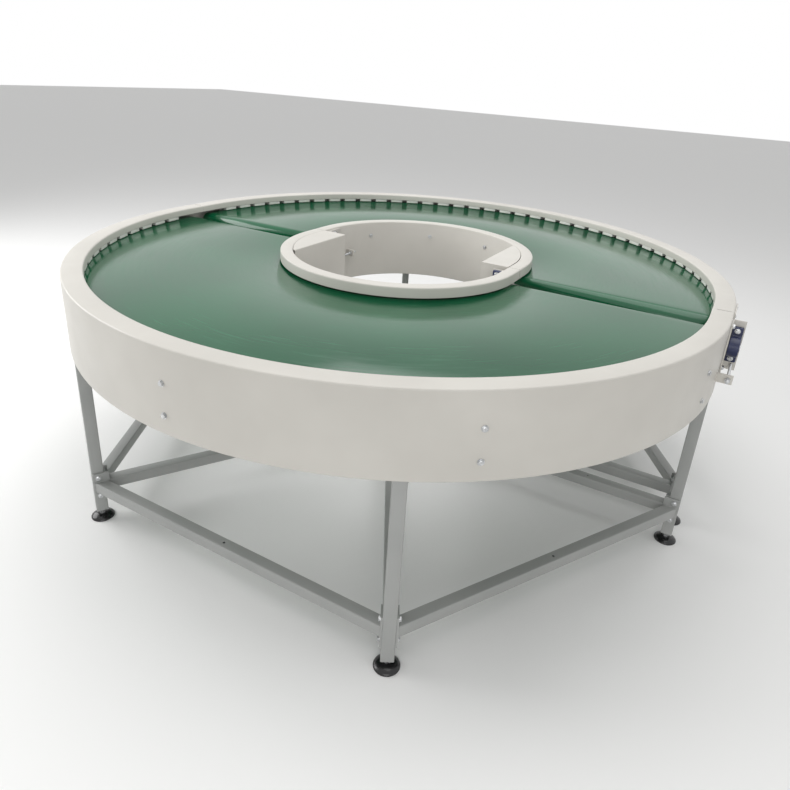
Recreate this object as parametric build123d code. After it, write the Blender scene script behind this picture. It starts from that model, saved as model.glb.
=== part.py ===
from build123d import *
from math import asin, atan, cos, degrees, pi, radians, sin, sqrt, tan
import os

# A full-circle turning table made of two equal 180 degree belt curves.
# Each half is built with its arc centre at the origin, its arc in front (y below 0) and the
# seam plane at y = arc_offset. The drive end is on its left, the idler end on its right.
# The front half is then moved forward by arc_offset, and the rear half is the same half
# turned 180 degrees about Z. The origin is on the floor at the centre, +Z is up.

# Side frames: folded sheet channels
rim_height = 910
rim_radius = 1250
arc_offset = 70
seam_gap = 0.6
sheet = 3
rim_flange = 70
rim_lip = 28
skirt_depth = 260
foot_flange = 75
hub_radius = 490
hub_flange = 50
hub_lip = 38
hub_depth = 265
hub_foot_flange = 25

# Belt, rollers and slider bed
belt_drop = 44
belt_thickness = 2
belt_rim_inset = 35
belt_hub_overlap = 35
roller_end_radius = 48
roller_clearance = 0.3
roller_overhang = 4
shaft_radius = 12.5
shaft_fit = 0.05
shaft_stand = 4
bed_sheet = 2.5
bed_edge_margin = 12
takeup_travel = 12

# Cross members under the bed
beam_azimuths = [12, 51, 90, 129, 168]
beam_width = 40
beam_sheet = 2.5
beam_hub_height = 26
beam_rim_height = 84
ledge_width = 35
ledge_sheet = 3
tie_section = 40
tie_wall = 2
upper_bolt_drop = 105
lower_bolt_drop = 200
hub_bolt_azimuths = [31.5, 70.5, 109.5, 148.5]
hub_bolt_drop = 65

# Belt edge guides
guide_count = 38
guide_first = 6
guide_length = 66
guide_reach = 64
guide_tail = 19
guide_nose = 12
guide_gap = 1
guide_side_gap = 3
guide_mouth = 20
return_guide_azimuths = [25, 38, 64, 77, 103, 116, 142, 155]

# Bearings, take-up and drive
bearing_radius = 42
bearing_width = 24
blank_width = 135
blank_height = 170
blank_drop = 4
blank_thickness = 5
skirt_hole_clearance = 4
hub_hole_clearance = 2
pillow_width = 34
pillow_radius = 33
pillow_base_height = 36
pillow_base_thickness = 14
pillow_base_length = 124
hub_pillow_base_length = 104
bracket_sheet = 5
bracket_reach = 44
bracket_top = 14
bracket_bottom = 190
hub_bracket_top = 8
hub_bracket_bottom = 150
bracket_tail = 40
hub_pad = 4
hub_pad_margin = 8
slot_width = 9
slot_length = 36
slot_edge = 14
screw_radius = 5
screw_drop = 172
hub_screw_drop = 132
screw_standoff = 30
screw_tail = 32
lug_distance = 105
lug_thickness = 10
lug_size = 30
screw_clearance = 0.5
nut_fit = 0.05
nut_height = 8
sprocket_teeth = 16
sprocket_gap = 11
sprocket_boss = 5
chain_pitch = 12.7
sprocket_width = 7
chain_centres = 118
chain_height = 11
chain_plate = 1.6
gearbox_width = 50
gearbox_gap = 14
gearbox_height = 96
gearbox_length = 84
gearbox_round = 10
motor_radius = 30
motor_length = 120
shelf_thickness = 6
shelf_flange = 46
cover_depth = 115
cover_sheet = 2

# Leg frame
leg_angles = [0, 60, 120, 180]
leg_inset = 25
leg_section = 40
leg_wall = 2
leg_bottom = 35
leg_plate_thickness = 6
leg_plate_length = 68
leg_plug = 8
rail_bottom = 122
rail_section = 40
rail_wall = 2
rail_outset = 6
end_plate_thickness = 6
end_plate_height = 110
end_plate_outer = 18
end_plate_inner = 36
end_bolt_offset = 37
joint_plate_width = 120
rail_hole_radius = 4.5
chord_hole_inset = 325

# Levelling feet
pad_radius = 40
pad_edge = 4
pad_height = 17
pad_neck_radius = 13
stud_radius = 6
stud_reach = 42
stud_clearance = 0.05
foot_nut_height = 10

# Fasteners
hex_radius = 8
hex_height = 7

# Worked out from the sizes above
belt_inner_radius = hub_radius - belt_hub_overlap
belt_outer_radius = rim_radius - belt_rim_inset
leg_radius = rim_radius - leg_inset
belt_top = rim_height - belt_drop
belt_under = belt_top - belt_thickness
cone_angle = degrees(asin(roller_end_radius / belt_outer_radius))
return_slope = tan(radians(2 * cone_angle))
axis_slope = tan(radians(cone_angle))
stub = arc_offset - seam_gap / 2
hub_inner = hub_radius - hub_flange
hub_back = hub_inner + sheet
web_inside = rim_radius - sheet
skirt_bottom = rim_height - skirt_depth
bed_nose = roller_end_radius / 2 + takeup_travel
bed_bottom = belt_under - bed_sheet
sprocket_pitch_radius = chain_pitch / (2 * sin(pi / sprocket_teeth))
sprocket_plane = hub_inner - bearing_width - sprocket_gap
motor_plane = sprocket_plane - gearbox_gap - gearbox_width / 2
hub_slide = hub_inner - hub_pad
cover_chord = hub_inner - cover_depth
pillow_offset = bracket_sheet + 1 + pillow_width / 2
guide_wall = sqrt(web_inside ** 2 - (guide_length / 2) ** 2)
rail_middle = rail_bottom + rail_section / 2
leg_face = leg_section / 2 + end_plate_thickness
CLOCKWISE = Axis((0, 0, 0), (0, 0, -1))
APEX = (0, 0, belt_under)


def section(points):
    """A closed outline in the XZ plane, given as (radius, height) pairs."""
    return make_face(Polyline([(r, 0, z) for r, z in points], close=True))


def around(azimuth, piece):
    """Turn a piece built on the +X axis to an azimuth in front of the arc centre."""
    return Rot(0, 0, -azimuth) * piece


def half_channel(outline):
    """Carry a section round the 180 degree arc and along the two straight stubs at the seam."""
    arc = revolve(outline, CLOCKWISE, 180)
    right = extrude(outline, stub, dir=(0, 1, 0))
    return arc + right + mirror(right, about=Plane.YZ)


def on_roller_axis(piece, side):
    """Tilt a piece built along +X onto the end roller's axis; side is 1 for right, -1 for left."""
    tilted = Pos(*APEX) * Rot(0, cone_angle, 0) * piece
    return tilted if side > 0 else mirror(tilted, about=Plane.YZ)


def axis_height(x):
    """Height of the end roller's axis at a distance x from the arc centre."""
    return belt_under - x * axis_slope


def bar_x(outline, length):
    """An outline drawn on the YZ plane, carried along X by half the length each way."""
    return extrude(Plane.YZ * outline, length / 2, both=True)


def bar_y(outline, start, end):
    """An outline drawn about the Y axis, carried along Y from a start to an end."""
    return Pos(0, start, 0) * extrude(Plane.XZ * outline, start - end)


def slot_cutter(radius, travel, depth):
    """An obround bar along X, long in -Y by the travel, that cuts a shaft slot in a wall."""
    return Pos(0, -travel / 2, 0) * bar_x(SlotOverall(2 * radius + travel, 2 * radius), depth)


def hex_bolt():
    """Hexagon head standing on the XY plane."""
    return extrude(RegularPolygon(hex_radius, 6), hex_height)


def facing(x, y, z, azimuth, piece):
    """Stand a piece built on the XY plane on a vertical face at a point, facing an azimuth."""
    return Pos(x, y, z) * Rot(0, 0, azimuth) * Rot(0, 90, 0) * piece


def lug(sheet_middle, x_face, side, drop):
    """Welded lug that holds one take-up screw, from the middle of the frame's sheet outwards;
    side is 1 outside the skirt, -1 inside the hub."""
    root = sqrt(sheet_middle ** 2 - lug_distance ** 2)
    tip = x_face + side * (screw_standoff + lug_size / 2)
    z = rim_height - drop
    block = Pos((root + tip) / 2, -lug_distance, z) * Box(abs(tip - root), lug_thickness, lug_size)
    hole = bar_y(Circle(screw_radius + screw_clearance), -2 * lug_distance, 0)
    return block - Pos(x_face + side * screw_standoff, 0, z) * hole


def hub_pad_plate():
    """Flat pad on the curved hub wall that the inner take-up bracket slides on."""
    back = pillow_base_height + bracket_sheet + hub_pad_margin
    front = -bracket_tail - takeup_travel - hub_pad_margin
    width = hub_pad + sheet / 2
    height = hub_bracket_bottom - hub_bracket_top
    z = rim_height - (hub_bracket_top + hub_bracket_bottom) / 2
    return Pos(hub_slide + width / 2, (back + front) / 2, z) * Box(width, back - front, height)


def shaft_ways(channel, x_wall, radius):
    """Cut the idler shaft's slot and the drive shaft's round hole in a side frame."""
    z = axis_height(x_wall)
    idler_slot = Pos(x_wall, 0, z) * slot_cutter(radius, takeup_travel, 8 * sheet)
    drive_hole = Pos(-x_wall, 0, z) * bar_x(Circle(radius), 4 * sheet)
    return channel - idler_slot - drive_hole


def outer_frame():
    """Outer side frame: skirt, top flange with its lip, and the bottom flange for the legs."""
    top, bottom = rim_height, skirt_bottom
    lip_outer = rim_radius - rim_flange + sheet
    channel = half_channel(section([
        (rim_radius, top), (rim_radius, bottom), (rim_radius - foot_flange, bottom),
        (rim_radius - foot_flange, bottom + sheet), (web_inside, bottom + sheet),
        (web_inside, top - sheet), (lip_outer, top - sheet), (lip_outer, top - rim_lip),
        (rim_radius - rim_flange, top - rim_lip), (rim_radius - rim_flange, top),
    ]))
    way_radius = shaft_radius + skirt_hole_clearance
    screw_lug = lug(rim_radius - sheet / 2, rim_radius, 1, screw_drop)
    return shaft_ways(channel, rim_radius, way_radius) + screw_lug


def inner_frame():
    """Hub side frame: deep wall, top flange with a lip over the belt's inner edge, foot return."""
    top, bottom = rim_height, rim_height - hub_depth
    channel = half_channel(section([
        (hub_inner, top), (hub_radius, top), (hub_radius, top - hub_lip),
        (hub_radius - sheet, top - hub_lip), (hub_radius - sheet, top - sheet),
        (hub_back, top - sheet), (hub_back, bottom + sheet),
        (hub_inner + hub_foot_flange, bottom + sheet), (hub_inner + hub_foot_flange, bottom),
        (hub_inner, bottom),
    ]))
    way_radius = shaft_radius + hub_hole_clearance
    screw_lug = lug(hub_inner + sheet / 2, hub_slide, -1, hub_screw_drop)
    return shaft_ways(channel + hub_pad_plate(), hub_inner, way_radius) + screw_lug


def belt():
    """Endless fan-shaped belt: flat carrying run, a half-cone wrap at each end roller, and a
    return run that slopes down outwards by twice the rollers' cone angle."""
    strip = section([
        (belt_inner_radius, belt_under), (belt_outer_radius, belt_under),
        (belt_outer_radius, belt_top), (belt_inner_radius, belt_top),
    ])
    roller_axis = (cos(radians(cone_angle)), 0, -sin(radians(cone_angle)))
    carrying = revolve(strip, CLOCKWISE, 180)
    wrap = revolve(strip, Axis(APEX, tuple(-v for v in roller_axis)), 180)
    low_strip = strip.rotate(Axis(APEX, roller_axis), 180)
    returning = revolve(low_strip, CLOCKWISE, 180)
    return carrying + wrap + mirror(wrap, about=Plane.YZ) + returning


def slider_bed():
    """Flat half-ring plate under the carrying run, cut back straight at both end rollers."""
    inner = belt_inner_radius + bed_edge_margin
    outer = belt_outer_radius - bed_edge_margin
    ring = extrude(Circle(outer) - Circle(inner), bed_sheet)
    keep = Pos(0, -bed_nose - outer / 2, bed_sheet / 2) * Box(2 * outer, outer, 2 * bed_sheet)
    return Pos(0, 0, bed_bottom) * (ring & keep)


def bed_ledge():
    """Curved angle on the hub wall; the beams' inner ends rest on its shelf."""
    shelf = bed_bottom - beam_hub_height
    angle = section([
        (hub_back, bed_bottom), (hub_back + ledge_sheet, bed_bottom),
        (hub_back + ledge_sheet, shelf), (hub_back + ledge_width, shelf),
        (hub_back + ledge_width, shelf - ledge_sheet), (hub_back, shelf - ledge_sheet),
    ])
    start = degrees(atan(bed_nose / hub_inner)) + 4
    return Rot(0, 0, -start) * revolve(angle, CLOCKWISE, 180 - 2 * start)


def bed_beam():
    """One folded beam: deep at the rim and shallow at the hub, so it clears the sloping return
    run inside the belt loop. The rim end is closed by the flange that takes the upper bolt."""
    near = hub_back + ledge_sheet
    seat_end = hub_back + ledge_width
    far = sqrt(web_inside ** 2 - (beam_width / 2) ** 2)
    side = section([
        (near, bed_bottom), (far, bed_bottom),
        (far, bed_bottom - beam_rim_height), (seat_end, bed_bottom - beam_hub_height),
        (near, bed_bottom - beam_hub_height),
    ])
    hollow = section([
        (near - 1, bed_bottom - beam_sheet), (far - beam_sheet, bed_bottom - beam_sheet),
        (far - beam_sheet, bed_bottom - 2 * beam_rim_height),
        (near - 1, bed_bottom - 2 * beam_rim_height),
    ])
    body = extrude(side, beam_width / 2, both=True)
    return body - extrude(hollow, beam_width / 2 - beam_sheet, both=True)


def bed_beams():
    """The five beams that carry the slider bed."""
    return [around(a, bed_beam()) for a in beam_azimuths]


def square_tube(length, width, wall):
    """Open square tube along X, centred on the origin."""
    core = width - 2 * wall
    return Box(length, width, width) - Box(2 * length, core, core)


def tie_beam():
    """Square tube below the return run that ties the two side frames together."""
    near = hub_back
    far = sqrt(web_inside ** 2 - (tie_section / 2) ** 2)
    z = rim_height - lower_bolt_drop
    return Pos((near + far) / 2, 0, z) * square_tube(far - near, tie_section, tie_wall)


def tie_beams():
    """The five lower ties, straight under the bed beams."""
    return [around(a, tie_beam()) for a in beam_azimuths]


def return_face(r, gap):
    """Height of the return run's inner face at radius r, moved up or down by a gap."""
    return belt_under - r * return_slope + gap


def upper_guide():
    """Block under the rim's lip whose nose reaches over the carrying run's edge."""
    top = rim_height - rim_lip - guide_gap
    nose_under = belt_top + guide_gap
    side = belt_outer_radius + guide_side_gap
    return guide_block([
        (guide_wall, top), (guide_wall - guide_reach, top), (guide_wall - guide_reach, nose_under),
        (side, nose_under), (side, top - guide_tail), (guide_wall, top - guide_tail),
    ])


def return_guide():
    """Forked block that keeps the return run's edge up and out."""
    mouth = belt_outer_radius - guide_mouth
    throat = belt_outer_radius + guide_side_gap
    below = -belt_thickness - 2 * guide_gap
    return guide_block([
        (guide_wall, return_face(guide_wall, guide_nose)), (mouth, return_face(mouth, guide_nose)),
        (mouth, return_face(mouth, guide_gap)), (throat, return_face(throat, guide_gap)),
        (throat, return_face(throat, below)), (mouth, return_face(mouth, below)),
        (mouth, return_face(mouth, -guide_nose)), (guide_wall, return_face(guide_wall, -guide_nose)),
    ])


def guide_block(outline):
    """A guide's section carried straight by its length along the rim."""
    return extrude(section(outline), guide_length / 2, both=True)


def edge_guides():
    """Plastic blocks on the skirt that hold the belt's outer edge: a row over the carrying run
    and a few forked ones on the return run."""
    pitch = (180 - 2 * guide_first) / (guide_count - 1)
    upper, lower = upper_guide(), return_guide()
    row = [around(guide_first + i * pitch, upper) for i in range(guide_count)]
    return row + [around(a, lower) for a in return_guide_azimuths]


def lathe(profile):
    """Solid of revolution about X from (x, radius) pairs that start and end on the axis."""
    points = [(profile[0][0], 0)] + profile + [(profile[-1][0], 0)]
    return revolve(make_face(Polyline([(x, 0, r) for x, r in points], close=True)), Axis.X, 360)


def roller(outer_end, inner_end):
    """Conical end roller and its shaft along +X from the cone's apex."""
    near = belt_inner_radius - roller_overhang
    far = belt_outer_radius + roller_overhang
    lean = radians(cone_angle)

    def skin(s):
        return s * sin(lean) - roller_clearance

    return lathe([
        (inner_end, shaft_radius), (near * cos(lean), shaft_radius),
        (near * cos(lean), skin(near)), (far * cos(lean), skin(far)),
        (far * cos(lean), shaft_radius), (outer_end, shaft_radius),
    ])


def drive_roller():
    """Left roller: its shaft reaches through the hub wall to the sprocket."""
    return on_roller_axis(roller(rim_radius - 1, sprocket_plane - sprocket_width), -1)


def idler_roller():
    """Right roller: its shaft runs in the two take-up blocks."""
    outer = rim_radius + pillow_offset + pillow_width / 2 + shaft_stand
    inner = hub_slide - pillow_offset - pillow_width / 2 - shaft_stand
    return on_roller_axis(roller(outer, inner), 1)


def sprocket(teeth, bore_radius):
    """Roller-chain sprocket disc on the YZ plane, one flat-flanked tooth per pitch."""
    tip = sprocket_pitch_radius + 3.4
    root = sprocket_pitch_radius - 4
    step = 2 * pi / teeth
    outline = []
    for i in range(teeth):
        for turn, r in ((-0.32, root), (-0.12, tip), (0.12, tip), (0.32, root)):
            outline.append((r * cos((i + turn) * step), r * sin((i + turn) * step)))
    disc = make_face(Polyline(outline, close=True))
    body = extrude(disc, sprocket_width / 2, both=True)
    boss = Pos(0, 0, sprocket_width / 2) * extrude(Circle(bore_radius + 9), sprocket_boss)
    bore = Cylinder(bore_radius, 4 * (sprocket_width + sprocket_boss))
    return Plane.YZ.location * (body + boss - bore)


def roller_sprocket():
    """Driven sprocket on the drive roller's shaft, inside the hub."""
    return on_roller_axis(Pos(sprocket_plane, 0, 0) * sprocket(sprocket_teeth, shaft_radius), -1)


def motor_sprocket():
    """Driving sprocket with the gear motor's output shaft, one piece on the bench."""
    shaft = lathe([(motor_plane, shaft_radius), (sprocket_plane + sprocket_width, shaft_radius)])
    wheel = Pos(sprocket_plane, 0, 0) * sprocket(sprocket_teeth, shaft_radius - 1)
    return on_roller_axis(Pos(0, 0, -chain_centres) * (wheel + shaft), -1)


def drive_chain():
    """The chain's two rows of link plates, one each side of the sprocket teeth."""
    outer = sprocket_pitch_radius + chain_height / 2
    inner = sprocket_pitch_radius - chain_height / 2
    loop = SlotOverall(chain_centres + 2 * outer, 2 * outer)
    loop -= SlotOverall(chain_centres + 2 * inner, 2 * inner)
    row = extrude(loop, chain_plate)
    gap = sprocket_width / 2 + 0.6
    rows = []
    for z in (gap, -gap - chain_plate):
        plates = Plane.YZ.location * Rot(0, 0, 90) * Pos(0, 0, z) * row
        rows.append(on_roller_axis(Pos(sprocket_plane, 0, -chain_centres / 2) * plates, -1))
    return rows


def gear_motor():
    """Right-angle gearbox with its motor along the hub wall, and the angle it stands on."""
    box = Box(gearbox_width, gearbox_length, gearbox_height)
    box = fillet(box.edges().filter_by(Axis.X), gearbox_round)
    socket = bar_x(Circle(shaft_radius + shaft_fit), 2 * gearbox_width)
    start = -gearbox_length / 2
    can = bar_y(Circle(motor_radius), start, start - motor_length)
    cap = bar_y(Circle(motor_radius - 4), start - motor_length, start - motor_length - 8)
    terminal = Pos(0, start - motor_length / 2, motor_radius) * Box(44, 60, 26)
    body = Pos(motor_plane, 0, -chain_centres) * (box - socket + can + cap + terminal)
    return [on_roller_axis(body, -1), motor_shelf()]


def motor_shelf():
    """Angle that carries the gear motor off the hub wall, its end curved to the wall."""
    top = -chain_centres - gearbox_height / 2
    near = motor_plane - gearbox_width / 2
    far = hub_inner + 2 * shelf_thickness
    outline = section([
        (near, top), (far, top), (far, top - shelf_flange),
        (hub_inner - 2 * shelf_thickness, top - shelf_flange),
        (hub_inner - 2 * shelf_thickness, top - shelf_thickness), (near, top - shelf_thickness),
    ])
    angle = on_roller_axis(extrude(outline, gearbox_length / 2, both=True), -1)
    return angle & Pos(0, 0, rim_height / 2) * Cylinder(hub_inner, rim_height)


def bearing_bore(x_wall):
    """The running bore that a bearing on a wall needs for the right end's roller shaft."""
    reach = 4 * pillow_width
    bore = [(x_wall - reach, shaft_radius + shaft_fit), (x_wall + reach, shaft_radius + shaft_fit)]
    return on_roller_axis(lathe(bore), 1)


def flange_bearing(x_face):
    """Round bearing housing on the left end's wall, standing off its face towards the centre."""
    x = x_face - bearing_width / 2
    housing = Pos(x, 0, axis_height(x)) * bar_x(Circle(bearing_radius), bearing_width)
    seated = housing & Pos(0, 0, rim_height / 2) * Cylinder(x_face, rim_height)
    return mirror(seated - bearing_bore(x), about=Plane.YZ)


def blank_plate():
    """Plate outside the skirt over the drive shaft's hole."""
    place = Pos(-rim_radius - blank_thickness / 2, stub - blank_width / 2 - blank_drop,
                rim_height - blank_drop - blank_height / 2)
    return place * Box(blank_thickness, blank_width, blank_height)


def drive_bearings():
    """The drive roller's two bearings and the blank plate of its outer one."""
    return [flange_bearing(web_inside), flange_bearing(hub_inner), blank_plate()]


def pillow_block(x_wall, side, base_length):
    """Cast pillow-block bearing standing off a wall, its base upright and facing the seam."""
    x = x_wall + side * pillow_offset
    base = Pos(pillow_base_height - pillow_base_thickness / 2, 0) * Rectangle(
        pillow_base_thickness, base_length)
    neck = Pos(pillow_base_height / 2, 0) * Rectangle(pillow_base_height, 1.7 * pillow_radius)
    body = bar_x(base + neck + Circle(pillow_radius), pillow_width)
    return Pos(x, 0, axis_height(x)) * body - bearing_bore(x)


def takeup_outer_block():
    """Bearing block outside the skirt, on the idler roller's outer shaft end."""
    return pillow_block(rim_radius, 1, pillow_base_length)


def takeup_inner_block():
    """Bearing block inside the hub, on the idler roller's inner shaft end."""
    return pillow_block(hub_slide, -1, hub_pillow_base_length)


def takeup_bracket(x_wall, side, top, bottom, screw):
    """Slotted angle that slides on a side frame and carries a bearing block against its upright
    flange, with its take-up screw welded in below the block."""
    height = bottom - top
    z = rim_height - (top + bottom) / 2
    seat = pillow_base_height
    back = seat + bracket_sheet
    x_plate = x_wall + side * bracket_sheet / 2
    plate = Pos(x_plate, (back - bracket_tail) / 2, z) * Box(
        bracket_sheet, back + bracket_tail, height)
    flange = Pos(x_wall + side * bracket_reach / 2, seat + bracket_sheet / 2, z) * Box(
        bracket_reach, bracket_sheet, height)
    shaft_way = Pos(x_plate, 0, axis_height(x_plate)) * bar_x(
        Circle(shaft_radius + skirt_hole_clearance), 4 * bracket_sheet)
    slot = bar_x(SlotOverall(slot_length, slot_width), 4 * bracket_sheet)
    slots = [Pos(x_plate, 0, rim_height - drop) * slot for drop in (
        top + slot_edge, bottom - slot_edge)]
    rod = bar_y(Circle(screw_radius), back, -lug_distance - screw_tail)
    rod = Pos(x_wall + side * screw_standoff, 0, rim_height - screw) * rod
    return plate + flange - shaft_way - slots + rod


def takeup_brackets():
    """The outer and inner slotted angles of the idler end, with their screws."""
    return [
        takeup_bracket(rim_radius, 1, bracket_top, bracket_bottom, screw_drop),
        takeup_bracket(hub_slide, -1, hub_bracket_top, hub_bracket_bottom, hub_screw_drop),
    ]


def screw_nuts(x, drop):
    """The two nuts that hold a take-up screw, one on each face of its welded lug."""
    pair = []
    for side in (1, -1):
        nut = Pos(0, -lug_distance + side * (lug_thickness + nut_height) / 2 + side * 0.3, 0)
        outline = RegularPolygon(hex_radius + 1.5, 6) - Circle(screw_radius + nut_fit)
        pair.append(Pos(x, 0, rim_height - drop) * nut * bar_y(
            outline, nut_height / 2, -nut_height / 2))
    return pair


def takeup_nuts_outer():
    """Tension nuts outside the skirt."""
    return screw_nuts(rim_radius + screw_standoff, screw_drop)


def takeup_nuts_inner():
    """Tension nuts inside the hub."""
    return screw_nuts(hub_slide - screw_standoff, hub_screw_drop)


def hub_cover():
    """Sheet cover over the drive: a segment of the hub's circle with a flat front and an end
    wall at the seam, open below and towards the hub wall."""
    edge, end = hub_inner, stub
    front = Pos(-cover_chord - edge / 2, 0) * Rectangle(edge, 4 * edge)
    disc = Circle(edge) + Pos(-edge / 2, end / 2) * Rectangle(edge, end)
    reach = Pos(0, end - 2 * edge) * Rectangle(4 * edge, 4 * edge)
    plan = disc & front & reach
    base = rim_height - hub_depth
    shell = Pos(0, 0, base) * extrude(plan, hub_depth)
    inside = Pos(-cover_chord - cover_sheet - edge, end - cover_sheet - 2 * edge,
                 base + hub_depth / 2 - cover_sheet) * Box(2 * edge, 4 * edge, hub_depth)
    return shell - inside


def leg():
    """Square tube leg with a top plate that bolts under the skirt's bottom flange and a drilled
    plug for the levelling foot. Built on the +X axis, one face square to the radius."""
    height = skirt_bottom - leg_plate_thickness - leg_bottom
    core = leg_section - 2 * leg_wall
    tube = Box(leg_section, leg_section, height) - Pos(0, 0, leg_plug) * Box(core, core, height)
    hole = Cylinder(stud_radius + stud_clearance, 4 * leg_plug)
    tube = Pos(leg_radius, 0, leg_bottom + height / 2) * tube
    plate_mid = leg_radius + leg_section / 2 - leg_plate_length / 2
    plate = Pos(plate_mid, 0, skirt_bottom - leg_plate_thickness / 2) * Box(
        leg_plate_length, leg_section, leg_plate_thickness)
    return tube + plate - Pos(leg_radius, 0, leg_bottom) * hole


def legs():
    """The four legs of one half."""
    return [around(a, leg()) for a in leg_angles]


def end_plate(side):
    """Upright plate between a rail's end and a leg's face, in the leg's own frame: X is outwards
    along the radius, and side says on which side of the leg along Y."""
    width = end_plate_outer + end_plate_inner
    middle = leg_radius + (end_plate_outer - end_plate_inner) / 2
    y = side * (leg_section + end_plate_thickness) / 2
    return Pos(middle, y, rail_middle) * Box(width, end_plate_thickness, end_plate_height)


def perimeter_rail():
    """Square tube between two neighbouring legs, mitred against an end plate at each leg, with a
    hole through the middle of its upper and lower wall. Built level across the -Y direction."""
    half_step = leg_angles[1] / 2
    reach = (leg_radius + rail_outset) * cos(radians(half_step))
    length = 2 * leg_radius
    tube = Pos(0, -reach, rail_middle) * square_tube(length, rail_section, rail_wall)
    plates = []
    for side in (1, -1):
        leg_frame = Rot(0, 0, side * half_step - 90)
        beyond = Pos(leg_radius, side * (length - leg_face), rail_middle) * Box(
            length, 2 * length, 2 * rail_section)
        tube -= leg_frame * beyond
        plates.append(leg_frame * end_plate(-side))
    return [tube - Pos(0, -reach, rail_middle) * rail_hole()] + plates


def rail_hole():
    """Cutter for a bolt hole down through both walls of a rail."""
    return Cylinder(rail_hole_radius, 2 * rail_section)


def rails():
    """The three perimeter rails of one half, each a tube and its two welded end plates."""
    middles = [(a + b) / 2 for a, b in zip(leg_angles, leg_angles[1:])]
    return [Rot(0, 0, 90 - a) * piece for a in middles for piece in perimeter_rail()]


def rail_end(x, outwards):
    """Upright plate square to X that closes a tube's end; outwards is 1 or -1."""
    plate = Box(end_plate_thickness, leg_section, end_plate_height)
    return Pos(x + outwards * end_plate_thickness / 2, 0, rail_middle) * plate


def chord_rail():
    """Long rail under the seam between the two end legs, with a welded plate at each end."""
    reach = leg_radius - leg_face
    tube = Pos(0, 0, rail_middle) * square_tube(2 * reach, rail_section, rail_wall)
    for side in (1, -1):
        tube -= Pos(side * (leg_radius - chord_hole_inset), 0, rail_middle) * rail_hole()
    return [tube, rail_end(reach, 1), rail_end(-reach, -1)]


def strut_frame():
    """Two struts from the front legs, both welded to one joint plate at the chord's middle."""
    near = -rail_section / 2
    front = near - end_plate_thickness
    reach = leg_radius - leg_face
    frame = [Pos(0, (near + front) / 2, rail_middle) * Box(
        joint_plate_width, end_plate_thickness, rail_section + 2 * rail_wall)]
    for angle, side in zip(leg_angles[1:3], (1, -1)):
        tube = Pos(reach / 2, 0, rail_middle) * square_tube(reach, rail_section, rail_wall)
        keep = Pos(side * reach, front - reach, rail_middle) * Box(
            2 * reach, 2 * reach, 2 * end_plate_height)
        frame += [around(angle, tube) & keep, around(angle, rail_end(reach, 1))]
    return frame


def cross_frame():
    """The chord rail and the strut frame of one half."""
    return chord_rail() + strut_frame()


def side_bolts():
    """Bolts in the skirt at both rows of cross members, and in the hub wall at the bed ledge."""
    bolt = hex_bolt()
    group = []
    for azimuth in beam_azimuths:
        for drop in (upper_bolt_drop, lower_bolt_drop):
            group.append(around(azimuth, facing(rim_radius, 0, rim_height - drop, 0, bolt)))
    seat = sqrt(hub_inner ** 2 - hex_radius ** 2)
    for azimuth in hub_bolt_azimuths:
        group.append(around(azimuth, facing(seat, 0, rim_height - hub_bolt_drop, 180, bolt)))
    return group


def frame_bolts():
    """Bolts that hold the rail and strut end plates to the legs."""
    bolt = hex_bolt()
    group = []
    for angle in leg_angles:
        sides = {leg_angles[0]: (-1,), leg_angles[-1]: (1,)}.get(angle, (1, -1))
        for z in (rail_middle + end_bolt_offset, rail_middle - end_bolt_offset):
            group.append(around(angle, facing(leg_radius - leg_face, 0, z, 180, bolt)))
            for side in sides:
                seat = facing(leg_radius, side * leg_face, z, 90 * side, bolt)
                group.append(around(angle, seat))
    return group


def foot():
    """Levelling foot: moulded pad on a steel stud, with the adjusting nut above the pad."""
    pad = revolve(section([
        (0, 0), (pad_radius, 0), (pad_radius, pad_edge), (pad_neck_radius, pad_height),
        (0, pad_height),
    ]), Axis.Z, 360)
    nut_top = pad_height + foot_nut_height
    nut = Pos(0, 0, pad_height) * extrude(RegularPolygon(pad_neck_radius - 2, 6), foot_nut_height)
    stud = Pos(0, 0, nut_top) * extrude(Circle(stud_radius), leg_bottom - nut_top + stud_reach)
    return pad + nut + stud


HALF_NODES = {
    "outer_frame": outer_frame, "inner_frame": inner_frame, "belt": belt,
    "slider_bed": slider_bed, "bed_ledge": bed_ledge, "bed_beams": bed_beams,
    "tie_beams": tie_beams, "edge_guides": edge_guides, "drive_roller": drive_roller,
    "roller_sprocket": roller_sprocket, "drive_bearings": drive_bearings,
    "idler_roller": idler_roller, "takeup_outer_block": takeup_outer_block,
    "takeup_inner_block": takeup_inner_block, "takeup_brackets": takeup_brackets,
    "takeup_nuts_outer": takeup_nuts_outer, "takeup_nuts_inner": takeup_nuts_inner,
    "hub_cover": hub_cover, "gear_motor": gear_motor, "motor_sprocket": motor_sprocket,
    "drive_chain": drive_chain, "side_bolts": side_bolts, "legs": legs, "rails": rails,
    "cross_frame": cross_frame, "frame_bolts": frame_bolts,
}
HALVES = {"front": Pos(0, -arc_offset, 0), "rear": Rot(0, 0, 180) * Pos(0, -arc_offset, 0)}


def save(name, piece):
    """Write one node; a list becomes one node of separate solids."""
    shape = Compound(children=piece) if isinstance(piece, list) else piece
    export_step(shape, f"parts/{name}.step")


def main():
    """Build one half, place it twice, and add the feet under the legs."""
    os.makedirs("parts", exist_ok=True)
    for name, build in HALF_NODES.items():
        piece = build()
        for half, place in HALVES.items():
            placed = [place * p for p in piece] if isinstance(piece, list) else place * piece
            save(f"{name}_{half}", placed)
    for half, place in HALVES.items():
        for number, angle in enumerate(leg_angles, 1):
            save(f"foot_{half}_{number}", place * around(angle, Pos(leg_radius, 0, 0) * foot()))


main()
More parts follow.
